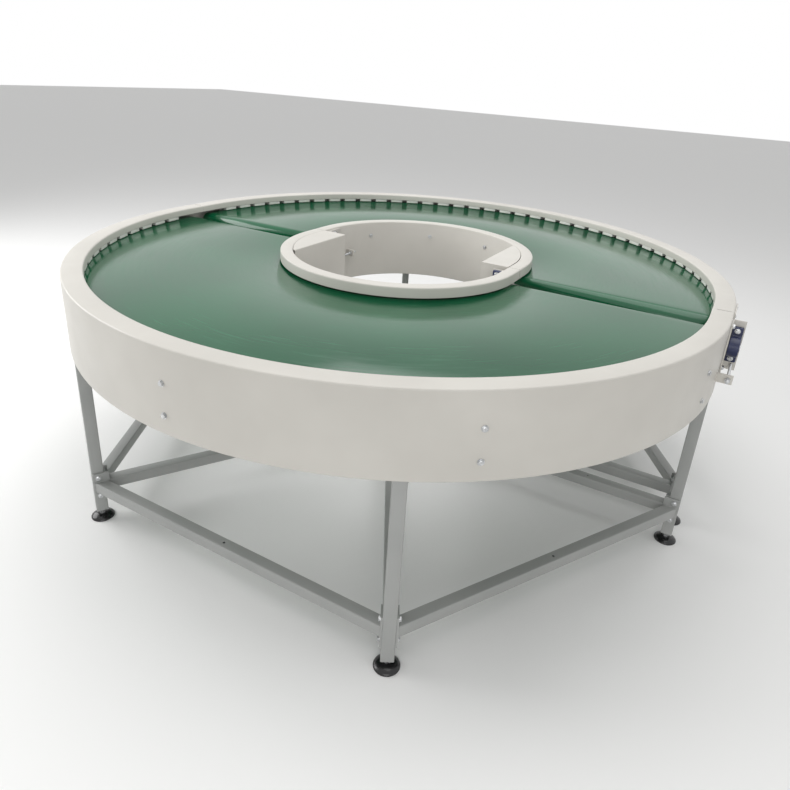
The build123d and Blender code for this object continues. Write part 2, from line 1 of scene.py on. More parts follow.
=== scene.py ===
# %% [markdown]
# A round packing table: two half-turn belt curves set seam to seam round an open hub. The
# imported CAD model is the frame that everything here is hung on. It is loaded first, and its box
# is kept.

# %% Load the frame
import bpy
import numpy as np
from mathutils import Matrix, Vector


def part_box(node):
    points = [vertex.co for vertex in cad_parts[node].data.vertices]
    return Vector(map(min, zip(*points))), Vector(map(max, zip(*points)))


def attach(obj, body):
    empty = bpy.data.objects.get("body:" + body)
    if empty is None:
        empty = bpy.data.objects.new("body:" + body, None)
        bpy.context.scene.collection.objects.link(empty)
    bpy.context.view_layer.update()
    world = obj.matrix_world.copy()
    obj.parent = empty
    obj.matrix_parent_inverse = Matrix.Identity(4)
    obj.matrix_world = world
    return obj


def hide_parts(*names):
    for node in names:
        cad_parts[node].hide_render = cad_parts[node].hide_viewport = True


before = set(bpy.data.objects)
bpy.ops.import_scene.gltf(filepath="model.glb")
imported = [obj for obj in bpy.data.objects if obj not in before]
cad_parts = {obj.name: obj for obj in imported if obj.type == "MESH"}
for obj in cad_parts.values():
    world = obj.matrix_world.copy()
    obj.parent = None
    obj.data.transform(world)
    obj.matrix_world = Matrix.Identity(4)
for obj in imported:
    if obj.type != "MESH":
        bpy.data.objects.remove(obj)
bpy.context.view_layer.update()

# %% [markdown]
# The driving sizes are read off the frame's own boxes, so nothing here is fitted by eye. Each
# half is an arc whose centre lies a little in front of, or behind, the table's middle. The rear
# half is the front half turned half a turn about the vertical.

# %% Driving sizes, in metres
MM = 0.001
outer_low, outer_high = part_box("outer_frame_front")
inner_low, inner_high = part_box("inner_frame_front")
belt_low, belt_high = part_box("belt_front")
RIM_TOP = outer_high[2]
RIM_R = -outer_low[0]
ARC_OFFSET = -outer_low[1] - RIM_R
STUB = outer_high[1] + ARC_OFFSET
SKIRT_LOW = outer_low[2]
HUB_R = -inner_low[0]
HUB_LOW = inner_low[2]
BELT_TOP = belt_high[2]
BELT_R = -belt_low[0]
HALVES = {"front": 1, "rear": -1}

SHEET = 3 * MM
RIM_FLANGE = 70 * MM
RIM_LIP = 28 * MM
FOOT_FLANGE = 75 * MM
HUB_FLANGE = 50 * MM
HUB_LIP = 38 * MM
HUB_FOOT = 25 * MM
HUB_IN = HUB_R - HUB_FLANGE
BELT_T = 2 * MM
BELT_IN = 455 * MM
BELT_UNDER = BELT_TOP - BELT_T
ROLLER_END_R = 48 * MM
CONE = np.arcsin(ROLLER_END_R / BELT_R)
print("rim radius", round(RIM_R, 3), "top", round(RIM_TOP, 3), "arc offset", round(ARC_OFFSET, 3))

# %% [markdown]
# Every new surface is a grid of points worked out with numpy. A grid has rows along one
# direction and columns along the other. Joining each point to its neighbours gives the quads,
# and a ring at each end can be closed with one many-sided face. Working on whole arrays keeps
# the formulas short and the script quick.

# %% Grids and meshes
def quads(rows, columns, round_rows=False, round_columns=False):
    """Corner numbers of a grid's quads. Row i and column j meet at i * columns + j, and a
    direction that is round joins its last line to its first."""
    i = np.arange(rows if round_rows else rows - 1)[:, None]
    j = np.arange(columns if round_columns else columns - 1)[None]
    next_i = (i + 1) % rows
    next_j = (j + 1) % columns
    corners = [i * columns + j, next_i * columns + j, next_i * columns + next_j,
               i * columns + next_j]
    return np.stack([c + 0 * (i + j) for c in corners], -1).reshape(-1, 4)


def skin(points, round_rows=False, round_columns=True, ends=True):
    """A grid of points (rows, columns, 3) as a (points, faces) pair. With ends, the first and
    the last row are closed by a face each."""
    rows, columns = points.shape[:2]
    faces = quads(rows, columns, round_rows, round_columns).tolist()
    if ends and not round_rows:
        last = (rows - 1) * columns
        faces.append(list(range(columns)))
        faces.append([last + k for k in range(columns - 1, -1, -1)])
    return points.reshape(-1, 3), faces


def joined(parts):
    """Several (points, faces) pairs as one: each part's corner numbers move up by the points
    before it."""
    start, all_points, all_faces = 0, [], []
    for points, faces in parts:
        all_points.append(points)
        all_faces += [[k + start for k in face] for face in faces]
        start += len(points)
    return np.concatenate(all_points), all_faces


def piece(name, parts, material, body, nodes=(), bevel=0.0, sharp=35):
    """A finished object from (points, faces) pairs: smooth shaded with edges sharper than
    `sharp` degrees kept, bevelled if asked, riding on its body."""
    points, faces = joined(parts)
    mesh = bpy.data.meshes.new(name)
    mesh.from_pydata(points.tolist(), [], faces)
    mesh.update()
    tidy_normals(mesh)
    mesh.shade_smooth()
    mesh.set_sharp_from_angle(angle=np.radians(sharp))
    thing = bpy.data.objects.new(name, mesh)
    bpy.context.collection.objects.link(thing)
    mesh.materials.append(material)
    if bevel:
        edge = thing.modifiers.new("edge", "BEVEL")
        edge.width = bevel
        edge.segments = 2
        edge.limit_method = "ANGLE"
        edge.angle_limit = np.radians(sharp)
        edge.harden_normals = True
    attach(thing, body)
    if nodes:
        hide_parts(*nodes)
    return thing


def tidy_normals(mesh):
    """Turn every closed shell of a mesh so that its faces point outwards."""
    import bmesh
    work = bmesh.new()
    work.from_mesh(mesh)
    bmesh.ops.recalc_face_normals(work, faces=work.faces)
    work.to_mesh(mesh)
    work.free()


def placed(points, half):
    """Move points from a half's own frame, where the arc centre is the origin, to the table:
    front moves forwards by the arc offset, rear is the front turned half a turn."""
    sign = HALVES[half]
    return points * [sign, sign, 1] + [0, -sign * ARC_OFFSET, 0]


def both_halves(build):
    """Call a piece's builder for the front and for the rear half."""
    for half in HALVES:
        build(half)


def rounded(corners, radius, steps=4):
    """A closed outline (corners, 2) with each corner turned into an arc. At a corner whose sides
    meet at the angle 2h, the arc of radius r starts r / tan(h) along each side, and its centre
    lies r / sin(h) along the line that halves the angle."""
    corners = np.asarray(corners, float)
    radius = np.broadcast_to(np.asarray(radius, float), len(corners))[:, None]
    back = unit(np.roll(corners, 1, 0) - corners)
    ahead = unit(np.roll(corners, -1, 0) - corners)
    half = np.arccos(np.clip((back * ahead).sum(1, keepdims=True), -1, 1)) / 2
    centre = corners + unit(back + ahead) * radius / np.sin(half)
    first = corners + back * radius / np.tan(half) - centre
    last = corners + ahead * radius / np.tan(half) - centre
    start = np.arctan2(first[:, 1], first[:, 0])[:, None]
    turn = np.arctan2(last[:, 1], last[:, 0])[:, None] - start
    turn = (turn + np.pi) % (2 * np.pi) - np.pi
    angle = start + turn * np.linspace(0, 1, steps + 1)
    arc = np.stack([np.cos(angle), np.sin(angle)], -1) * radius[:, None]
    return (centre[:, None] + arc).reshape(-1, 2)


def unit(vectors):
    """Vectors scaled to length one."""
    return vectors / np.linalg.norm(vectors, axis=-1, keepdims=True)


# %% [markdown]
# A sheet-metal channel is one folded section carried round the arc and a short way straight at
# both ends. A point of the section has a radius and a height. Along the arc it turns about the
# arc centre, and along the straight ends it only moves towards the seam.

# %% Carry a section round a half
ARC_STEPS = 120


def arc_points(section, start=0.0, end=180.0, stub=0.0, steps=ARC_STEPS):
    """Section points (n, 2) of radius and height carried round: x = r cos a, y = -r sin a plus
    the straight run's shift, z = height, for a from start to end in degrees."""
    angle = np.radians(np.linspace(start, end, steps + 1))
    shift = np.zeros(steps + 1)
    if stub:
        angle = np.concatenate([angle[:1], angle, angle[-1:]])
        shift = np.concatenate([[stub], shift, [stub]])
    r = section[None, :, 0]
    x = r * np.cos(angle)[:, None]
    y = -r * np.sin(angle)[:, None] + shift[:, None]
    return np.stack([x, y, np.broadcast_to(section[None, :, 1], x.shape)], -1)


def block(low, high, radius=1 * MM, steps=2):
    """A box whose four edges along Z are rounded, as a (points, faces) pair."""
    (x0, y0, z0), (x1, y1, z1) = low, high
    outline = rounded([(x0, y0), (x1, y0), (x1, y1), (x0, y1)], radius, steps)
    rings = [np.column_stack([outline, np.full(len(outline), z)]) for z in (z0, z1)]
    return skin(np.array(rings))


def lathe(profile, steps=48):
    """A profile (n, 2) of distance along X and radius, turned about X: y = r cos t, z = r sin t.
    Its first and last points are on the axis or become flat ends."""
    profile = np.asarray(profile, float)
    turn = np.linspace(0, 2 * np.pi, steps, endpoint=False)
    x = np.broadcast_to(profile[:, :1], (len(profile), steps))
    y = profile[:, 1:] * np.cos(turn)
    z = profile[:, 1:] * np.sin(turn)
    return skin(np.stack([x, y, z], -1))


def moved(part, matrix):
    """A (points, faces) pair through a 4 x 4 matrix."""
    points, faces = part
    m = np.array(matrix)
    return points @ m[:3, :3].T + m[:3, 3], faces


def spin(degrees, axis="Z"):
    """A turn about an axis through the origin."""
    return Matrix.Rotation(np.radians(degrees), 4, axis)


def shift(x, y, z):
    """A move without a turn."""
    return Matrix.Translation((x, y, z))


def in_half(parts, half):
    """Parts built in a half's own frame, moved to the table."""
    return [(placed(points, half), faces) for points, faces in parts]


# %% [markdown]
# Materials come next, so that each piece can be given its finish as it is made. One function
# turns a screen colour into the linear colour that the renderer wants, and one adds a node.
# Patterns are written in millimetres: a noise of scale s repeats about s times a metre.

# %% Colour and node helpers
def colour(hex_code):
    """sRGB hex to linear: c / 12.92 below 0.04045, else ((c + 0.055) / 1.055) to the 2.4."""
    c = np.array([int(hex_code[i:i + 2], 16) for i in (1, 3, 5)]) / 255
    linear = np.where(c <= 0.04045, c / 12.92, ((c + 0.055) / 1.055) ** 2.4)
    return (*linear, 1.0)


def per_metre(size_mm):
    """Pattern scale for a feature of that size, because Object coordinates are in metres."""
    return 1000 / size_mm


def node(tree, kind, inputs=None, **settings):
    """Add a shader node: settings are its own fields, inputs are socket values or links."""
    made = tree.nodes.new(kind)
    for field, value in settings.items():
        setattr(made, field, value)
    for socket, value in (inputs or {}).items():
        if isinstance(value, bpy.types.NodeSocket):
            tree.links.new(value, made.inputs[socket])
        else:
            made.inputs[socket].default_value = value
    return made


def material(name, finish):
    """A material whose finish(tree, place) returns the shader's inputs: plain values where the
    surface is even, and sockets where it varies."""
    made = bpy.data.materials.new(name)
    made.use_nodes = True
    tree = made.node_tree
    tree.nodes.clear()
    place = node(tree, "ShaderNodeTexCoord").outputs["Object"]
    surface = node(tree, "ShaderNodeBsdfPrincipled", finish(tree, place))
    node(tree, "ShaderNodeOutputMaterial", {"Surface": surface.outputs[0]})
    return made


def noise(tree, place, size_mm, detail=3.0, rough=0.5, stretch=None):
    """Soft noise with features of about that size, stretched if asked, as a 0 to 1 socket."""
    if stretch:
        place = node(tree, "ShaderNodeMapping", {"Vector": place, "Scale": stretch}).outputs[0]
    made = node(tree, "ShaderNodeTexNoise", {
        "Vector": place, "Scale": per_metre(size_mm), "Detail": detail, "Roughness": rough})
    return made.outputs["Fac"]


def ramp(tree, value, low, high, from_low=0.3, from_high=0.7):
    """A number that goes from low to high as value goes from from_low to from_high."""
    made = node(tree, "ShaderNodeMapRange", {
        "Value": value, "From Min": from_low, "From Max": from_high, "To Min": low,
        "To Max": high})
    return made.outputs["Result"]


def mixed(tree, factor, first, second):
    """Two colours mixed by a 0 to 1 socket."""
    made = node(tree, "ShaderNodeMix", data_type="RGBA")
    tree.links.new(factor, made.inputs[0])
    for socket, value in ((6, first), (7, second)):
        if isinstance(value, bpy.types.NodeSocket):
            tree.links.new(value, made.inputs[socket])
        else:
            made.inputs[socket].default_value = value
    return made.outputs[2]


def bump(tree, height, depth_mm, strength=1.0):
    """A bump from a 0 to 1 height that is depth_mm deep."""
    made = node(tree, "ShaderNodeBump", {
        "Height": height, "Distance": depth_mm * MM, "Strength": strength})
    return made.outputs["Normal"]


# %% [markdown]
# The sheet metal is powder coated: dry paint is baked into a thick, slightly wavy skin. To the
# eye it is an even pale grey with a soft, broad highlight. Its real orange peel is about 2 mm
# across, which is finer than a pixel here, so it is drawn at 6 mm. The legs carry a darker coat.

# %% Painted steel
def powder_coat(light, shade, rough):
    """A finish for baked powder paint between two close shades."""
    def finish(tree, place):
        cloud = noise(tree, place, 260)
        return {
            "Base Color": mixed(tree, ramp(tree, cloud, 0, 1), colour(light), colour(shade)),
            "Roughness": ramp(tree, noise(tree, place, 90), rough - 0.05, rough + 0.06),
            "Specular IOR Level": 0.45,
            "Normal": bump(tree, noise(tree, place, 6, 1.5), 0.02, 0.5),
        }
    return finish


FRAME_ENAMEL = material("powder_coated_sheet", powder_coat("#CBC8C1", "#C3C0B9", 0.42))
LEG_ENAMEL = material("powder_coated_tube", powder_coat("#A3A4A2", "#989A98", 0.38))
print("painted steel", FRAME_ENAMEL.name, LEG_ENAMEL.name)


# %% [markdown]
# The belt is a woven carcass with a smooth, dark green PVC skin. The skin is glossy, so it
# mirrors lamps and windows, and goods that slide on it leave fine scuffs that follow its travel.
# The scuffs are noise that is stretched along the arc: it is read at a point's distance from the
# nearer arc centre and at its angle round that centre, in place of x and y.

# %% Belt skin
def travel_place(tree, place):
    """Coordinates that follow the belt: radius from the half's own arc centre, angle as an arc
    length at one metre, and height."""
    split = node(tree, "ShaderNodeSeparateXYZ", {"Vector": place})
    x, y, z = split.outputs
    size = node(tree, "ShaderNodeMath", {0: y}, operation="ABSOLUTE").outputs[0]
    depth = node(tree, "ShaderNodeMath", {0: size, 1: ARC_OFFSET}, operation="SUBTRACT").outputs[0]
    flat = node(tree, "ShaderNodeCombineXYZ", {"X": x, "Y": depth}).outputs[0]
    radius = node(tree, "ShaderNodeVectorMath", {0: flat}, operation="LENGTH").outputs["Value"]
    angle = node(tree, "ShaderNodeMath", {0: depth, 1: x}, operation="ARCTAN2").outputs[0]
    return node(tree, "ShaderNodeCombineXYZ", {"X": radius, "Y": angle, "Z": z}).outputs[0]


def belt_skin(tree, place):
    """Glossy green PVC: two close greens in soft clouds, and long thin scuffs in its gloss."""
    travel = travel_place(tree, place)
    cloud = ramp(tree, noise(tree, place, 420, 4), 0, 1)
    scuff = noise(tree, travel, 9, 4, 0.6, stretch=(1.0, 0.06, 1.0))
    fine = noise(tree, travel, 2.5, 2, 0.5, stretch=(1.0, 0.03, 1.0))
    green = mixed(tree, cloud, colour("#0B5A38"), colour("#0A4E31"))
    worn = mixed(tree, ramp(tree, scuff, 0, 0.35, 0.58, 0.80), green, colour("#2F7A5A"))
    return {
        "Base Color": worn,
        "Roughness": ramp(tree, scuff, 0.10, 0.24, 0.35, 0.75),
        "Specular IOR Level": 0.55,
        "Normal": bump(tree, fine, 0.03, 0.35),
    }


BELT_PVC = material("green_pvc_belt", belt_skin)


# %% [markdown]
# The other finishes are those of bought parts. Zinc plating on bolts and screws is a bright,
# slightly patchy metal. Turned steel has fine rings left by the lathe. The bearing housings are
# cast iron under navy enamel, so their skin is grainy. The guides are white nylon, moulded, and
# the foot pads are black nylon with a wet-looking gloss.

# %% Metals and plastics
def bright_zinc(tree, place):
    """Zinc plating: blue-white metal, duller in small patches."""
    patch = noise(tree, place, 7, 3)
    return {
        "Base Color": mixed(tree, ramp(tree, patch, 0, 1), colour("#D5D6D6"), colour("#B4B6B8")),
        "Metallic": 1.0,
        "Roughness": ramp(tree, patch, 0.22, 0.42),
    }


def turned(tree, place):
    """Lathe-turned steel: the noise is drawn out round the shaft, so it reads as fine rings."""
    ring = noise(tree, place, 2, 2, 0.5, stretch=(1.0, 0.05, 0.05))
    return {
        "Base Color": mixed(tree, ring, colour("#BFC0C1"), colour("#A2A4A6")),
        "Metallic": 1.0,
        "Roughness": ramp(tree, ring, 0.25, 0.40),
    }


def bare_sheet(tree, place):
    """Cold-rolled sheet: grey metal with a soft sheen and faint roll marks."""
    mark = noise(tree, place, 30, 3, 0.5, stretch=(1.0, 0.1, 1.0))
    return {
        "Base Color": mixed(tree, mark, colour("#B9BABB"), colour("#A2A4A5")),
        "Metallic": 0.9,
        "Roughness": ramp(tree, mark, 0.35, 0.5),
    }


def cast_enamel(tree, place):
    """Navy enamel over sand-cast iron: the sand's grain, about 1.5 mm, still shows."""
    grain = noise(tree, place, 1.5, 2, 0.6)
    return {
        "Base Color": mixed(tree, ramp(tree, noise(tree, place, 25), 0, 1),
                            colour("#232C52"), colour("#1B2344")),
        "Roughness": ramp(tree, grain, 0.28, 0.45),
        "Normal": bump(tree, grain, 0.15, 0.5),
    }


def white_nylon(tree, place):
    """Natural nylon: milky white with a soft shine that light enters a little."""
    return {
        "Base Color": mixed(tree, noise(tree, place, 40), colour("#ECEBE6"), colour("#E2E1DB")),
        "Roughness": ramp(tree, noise(tree, place, 12), 0.35, 0.48),
        "Subsurface Weight": 0.08,
        "Subsurface Radius": (0.004, 0.004, 0.003),
    }


def black_nylon(tree, place):
    """Glossy black moulded nylon, with faint handling marks in the gloss."""
    return {
        "Base Color": mixed(tree, noise(tree, place, 20), colour("#111213"), colour("#18191A")),
        "Roughness": ramp(tree, noise(tree, place, 8, 4), 0.14, 0.28),
    }


def motor_enamel(tree, place):
    """Dark grey enamel over an aluminium casting."""
    return {
        "Base Color": mixed(tree, noise(tree, place, 30), colour("#5A5E63"), colour("#4E5257")),
        "Roughness": ramp(tree, noise(tree, place, 5), 0.36, 0.5),
        "Normal": bump(tree, noise(tree, place, 1.2, 2), 0.08, 0.4),
    }


ZINC = material("zinc_plated_steel", bright_zinc)
TURNED = material("turned_steel", turned)
SHEET_STEEL = material("cold_rolled_sheet", bare_sheet)
NAVY_CAST = material("navy_enamelled_casting", cast_enamel)
NYLON = material("white_nylon", white_nylon)
FOOT_BLACK = material("black_nylon", black_nylon)
MOTOR_GREY = material("grey_enamelled_casting", motor_enamel)
print("materials", len(bpy.data.materials))


# %% [markdown]
# A press brake leaves every folded corner round. The section of a folded sheet is therefore a
# line through the middle of the sheet with an arc at each bend, and half the sheet's thickness
# to either side of it.

# %% Folded sections
def fold(path, sheet=SHEET, bend=4 * MM, steps=4):
    """Closed outline of a sheet folded along an open path (corners, 2). At a turn of angle a the
    middle line's arc of radius R starts R tan(a / 2) before the corner. Each point of it is
    moved by half the sheet along the normal, once to each side."""
    path = np.asarray(path, float)
    along = unit(np.diff(path, axis=0))
    heading = np.arctan2(along[:, 1], along[:, 0])
    turn = (np.diff(heading) + np.pi) % (2 * np.pi) - np.pi
    angle = heading[:-1, None] + turn[:, None] * np.linspace(0, 1, steps + 1)
    normal = np.stack([-np.sin(angle), np.cos(angle)], -1)
    side = np.sign(turn)[:, None, None]
    start = path[1:-1] - along[:-1] * (bend * np.tan(abs(turn) / 2))[:, None]
    centre = start[:, None] + side * bend * normal[:, :1]
    middle = (centre - side * bend * normal).reshape(-1, 2)
    normal = normal.reshape(-1, 2)
    first, last = [[-a[1], a[0]] for a in (along[0], along[-1])]
    middle = np.concatenate([path[:1], middle, path[-1:]])
    normal = np.concatenate([[first], normal, [last]])
    half = sheet / 2
    return np.concatenate([middle + half * normal, (middle - half * normal)[::-1]])


def loose(part):
    """A (points, faces) pair as an object in the scene, with its faces turned outwards."""
    points, faces = part
    mesh = bpy.data.meshes.new("loose")
    mesh.from_pydata(points.tolist(), [], faces)
    tidy_normals(mesh)
    thing = bpy.data.objects.new("loose", mesh)
    bpy.context.collection.objects.link(thing)
    return thing


def carved(part, others, operation="DIFFERENCE"):
    """A closed shape with other closed shapes cut out of it, or with UNION fused to it, by an
    exact boolean. The result is read back as a (points, faces) pair."""
    solid, tool = loose(part), loose(joined(others))
    boolean = solid.modifiers.new("cut", "BOOLEAN")
    boolean.operation = operation
    boolean.solver = "EXACT"
    boolean.object = tool
    done = solid.evaluated_get(bpy.context.evaluated_depsgraph_get()).to_mesh()
    points = np.empty(3 * len(done.vertices), np.float32)
    done.vertices.foreach_get("co", points)
    faces = [list(face.vertices) for face in done.polygons]
    for thing in (solid, tool):
        mesh = thing.data
        bpy.data.objects.remove(thing)
        bpy.data.meshes.remove(mesh)
    return points.reshape(-1, 3).astype(float), faces


def round_bar(start, end, radius, steps=32):
    """A round bar between two points: a lathe profile turned onto the line between them."""
    start, end = Vector(start), Vector(end)
    line = end - start
    part = lathe([(0, radius), (line.length, radius)], steps)
    turn = Vector((1, 0, 0)).rotation_difference(line).to_matrix().to_4x4()
    return moved(part, Matrix.Translation(start) @ turn)


# %% [markdown]
# The outer side frame is the tall skirt that gives the table its look. It is one channel: a top
# flange with a lip that hangs towards the belt, the skirt itself, and a bottom flange for the
# legs. The shaft passes through it at both ends, and a small lug for the take-up screw is welded
# to its outside.

# %% Outer side frame
def axis_height(x):
    """Height of the end roller's axis at a distance x from the arc centre."""
    return BELT_UNDER - x * np.tan(CONE)


def slot_bar(x, z, radius, travel, depth):
    """An obround bar along X whose ends are half circles, long in -Y by the travel."""
    t = np.linspace(-np.pi / 2, np.pi / 2, 13)
    right = np.stack([radius * np.cos(t), radius * np.sin(t)], -1)
    left = np.stack([-travel - radius * np.cos(t[::-1]), radius * np.sin(t[::-1])], -1)
    ring = np.concatenate([right, left])
    rows = [np.column_stack([np.full(len(ring), x + dx), ring[:, 0], z + ring[:, 1]])
            for dx in (-depth, depth)]
    return skin(np.array(rows))


SHAFT_R = 12.5 * MM
TRAVEL = 12 * MM
WAY_R = SHAFT_R + 4 * MM
HUB_WAY_R = SHAFT_R + 2 * MM
LUG_DISTANCE = 105 * MM
LUG_T = 10 * MM
LUG_SIZE = 30 * MM
SCREW_R = 5 * MM
SCREW_OUT = 30 * MM
SCREW_Z = RIM_TOP - 172 * MM
HUB_SCREW_Z = RIM_TOP - 132 * MM
HUB_SLIDE = HUB_IN - 4 * MM


def lug(sheet_middle, x_face, side, z):
    """Welded lug from the middle of the sheet outwards, with rounded edges."""
    root = np.sqrt(sheet_middle ** 2 - LUG_DISTANCE ** 2)
    tip = x_face + side * (SCREW_OUT + LUG_SIZE / 2)
    low, high = sorted((root, tip))
    return block((low, -LUG_DISTANCE - LUG_T / 2, z - LUG_SIZE / 2),
                 (high, -LUG_DISTANCE + LUG_T / 2, z + LUG_SIZE / 2), 1.2 * MM)


SLIT = 2 * MM


def build_outer_frame(half):
    """Carry the folded channel round the half, cut the shaft's ways and the short open slit at
    each seam, and add the lug."""
    t = SHEET / 2
    section = fold([
        (RIM_R - FOOT_FLANGE, SKIRT_LOW + t), (RIM_R - t, SKIRT_LOW + t),
        (RIM_R - t, RIM_TOP - t), (RIM_R - RIM_FLANGE + t, RIM_TOP - t),
        (RIM_R - RIM_FLANGE + t, RIM_TOP - RIM_LIP),
    ])
    ways = [slot_bar(RIM_R, axis_height(RIM_R), WAY_R, TRAVEL, 20 * MM),
            slot_bar(-RIM_R, axis_height(RIM_R), WAY_R, 0, 20 * MM)]
    near, far = RIM_R - RIM_FLANGE + 14 * MM, RIM_R - 9 * MM
    for low, high in ((near, far), (-far, -near)):
        ways.append(block((low, STUB - SLIT, RIM_TOP - 6 * MM),
                          (high, STUB + SLIT, RIM_TOP + 6 * MM), 0.5 * MM))
    channel = carved(skin(arc_points(section, stub=STUB)), ways)
    screw_hole = round_bar((RIM_R + SCREW_OUT, -0.2, SCREW_Z), (RIM_R + SCREW_OUT, 0, SCREW_Z),
                           SCREW_R + 0.5 * MM)
    ear = carved(lug(RIM_R - t, RIM_R, 1, SCREW_Z), [screw_hole])
    piece(f"skirt_{half}", in_half([channel, ear], half), FRAME_ENAMEL, "table",
          [f"outer_frame_{half}"])


both_halves(build_outer_frame)


# %% [markdown]
# The inner side frame rings the open hub. Its top flange ends in a deep lip over the belt's
# inner edge, and its foot is turned in for stiffness. The inner take-up slides on a flat pad
# that is welded to its curved wall.

# %% Inner side frame
HUB_PAD_LOW = RIM_TOP - 150 * MM
HUB_PAD_HIGH = RIM_TOP - 8 * MM
PAD_FRONT = -60 * MM
PAD_BACK = 49 * MM


def build_inner_frame(half):
    """Carry the hub's folded channel round the half, leave a hair's gap at each seam, cut the
    shaft's ways, and add the pad and the lug."""
    t = SHEET / 2
    section = fold([
        (HUB_IN + HUB_FOOT, HUB_LOW + t), (HUB_IN + t, HUB_LOW + t), (HUB_IN + t, RIM_TOP - t),
        (HUB_R - t, RIM_TOP - t), (HUB_R - t, RIM_TOP - HUB_LIP),
    ])
    idler_way = slot_bar(HUB_IN, axis_height(HUB_IN), HUB_WAY_R, TRAVEL, 20 * MM)
    drive_way = slot_bar(-HUB_IN, axis_height(HUB_IN), HUB_WAY_R, 0, 20 * MM)
    wall = skin(arc_points(section, stub=STUB - SLIT / 2, steps=96))
    wall = carved(wall, [idler_way, drive_way])
    pad = block((HUB_SLIDE, PAD_FRONT, HUB_PAD_LOW), (HUB_IN + t, PAD_BACK, HUB_PAD_HIGH), 1.5 * MM)
    pad = carved(pad, [idler_way])
    screw_x = HUB_SLIDE - SCREW_OUT
    screw_hole = round_bar((screw_x, -0.2, HUB_SCREW_Z), (screw_x, 0, HUB_SCREW_Z),
                           SCREW_R + 0.5 * MM)
    ear = carved(lug(HUB_IN + t, HUB_SLIDE, -1, HUB_SCREW_Z), [screw_hole])
    piece(f"hub_ring_{half}", in_half([wall, pad, ear], half), FRAME_ENAMEL, "table",
          [f"inner_frame_{half}"])


both_halves(build_inner_frame)


# %% [markdown]
# A belt curve's belt is a fan. It lies flat on top, wraps a cone at each end, and comes back
# underneath as a shallow cone. All of it is one grid: a cross-section of the strip, first turned
# about the roller's axis by the wrap angle, then about the arc centre by the travel angle. Going
# once round the loop, one of the two angles changes while the other waits.

# %% Belt
WRAP_STEPS = 20


def about_roller(points, angle):
    """Turn points (columns, 3) about the right roller's axis by angles (rows): the part along
    the axis stays, and the rest turns in the plane across it."""
    axis = np.array([np.cos(CONE), 0, -np.sin(CONE)])
    apex = np.array([0, 0, BELT_UNDER])
    rel = points - apex
    along = (rel @ axis)[:, None] * axis
    across = rel - along
    other = np.cross(axis, across)
    c, s = np.cos(angle)[:, None, None], np.sin(angle)[:, None, None]
    return apex + along + across * c + other * s


def build_belt(half):
    """The endless strip: travel angle a and wrap angle t go round the loop in four stretches."""
    a = np.linspace(0, np.pi, ARC_STEPS + 1)
    t = np.linspace(0, np.pi, WRAP_STEPS + 1)
    still = np.zeros_like
    travel = np.concatenate([a[:-1], still(t[:-1]) + np.pi, a[::-1][:-1], still(t[:-1])])
    wrap = np.concatenate([still(a[:-1]), t[:-1], still(a[:-1]) + np.pi, -t[::-1][:-1]])
    strip = rounded([(BELT_IN, BELT_UNDER), (BELT_R, BELT_UNDER), (BELT_R, BELT_TOP),
                     (BELT_IN, BELT_TOP)], 0.6 * MM, 2)
    flat = np.column_stack([strip[:, 0], np.zeros(len(strip)), strip[:, 1]])
    bent = about_roller(flat, wrap)
    c, s = np.cos(travel)[:, None], np.sin(travel)[:, None]
    x, y, z = bent[..., 0], bent[..., 1], bent[..., 2]
    points = np.stack([x * c + y * s, y * c - x * s, z], -1)
    belt = skin(points, round_rows=True)
    piece(f"belt_{half}_skin", in_half([belt], half), BELT_PVC, "table",
          [f"belt_{half}"], sharp=50)


both_halves(build_belt)


# %% [markdown]
# The table stands on legs and rails of 40 mm square tube. Real tube has rounded corners, because
# it is rolled from strip, and it is hollow. A hollow tube is one grid whose rows are the outer
# outline at both ends and then the inner outline back again, so it closes on itself.

# %% Square tubes, plates and weld beads
TUBE = 40 * MM
WALL = 2 * MM
PLATE_T = 6 * MM


def square(size, radius, steps=3):
    """Outline of a square with rounded corners, centred on the origin."""
    h = size / 2
    return rounded([(-h, -h), (h, -h), (h, h), (-h, h)], radius, steps)


def tube_rows(place_ends, size=TUBE, wall=WALL):
    """Hollow tube: place_ends(outline) gives the 3-D ring at each end for a flat outline."""
    outer = square(size, 3.5 * MM)
    inner = square(size - 2 * wall, 1.8 * MM)
    near_out, far_out = place_ends(outer)
    near_in, far_in = place_ends(inner)
    return skin(np.array([near_out, far_out, far_in, near_in]), round_rows=True)


def tube_x(start, end, y, z):
    """Level tube along X between two distances."""
    def ends(outline):
        return [np.column_stack([np.full(len(outline), x), y + outline[:, 0], z + outline[:, 1]])
                for x in (start, end)]
    return tube_rows(ends)


def bead(start, end, radius=2.5 * MM, ripple=5 * MM):
    """Weld bead between two points: a round bar whose radius rises and falls once a ripple."""
    start, end = Vector(start), Vector(end)
    line = end - start
    count = max(8, int(3 * line.length / ripple))
    s = np.linspace(0, 1, count + 1)
    swell = radius * (0.86 + 0.14 * np.cos(2 * np.pi * s * line.length / ripple))
    swell[[0, -1]] = 0.4 * radius
    part = lathe(np.column_stack([s * line.length, swell]), 8)
    turn = Vector((1, 0, 0)).rotation_difference(line).to_matrix().to_4x4()
    return moved(part, Matrix.Translation(start) @ turn)


def around(azimuth, parts):
    """Turn parts built on the +X axis to an azimuth in front of the arc centre."""
    return [moved(part, spin(-azimuth)) for part in parts]


# %% [markdown]
# A bolt is drawn once, standing on the XY plane, and then copied by a matrix to each place. The
# head is a hexagon whose top edge is chamfered, on a round washer. Hundreds of faces would be
# wasted on it, because each one is only a few pixels in size.

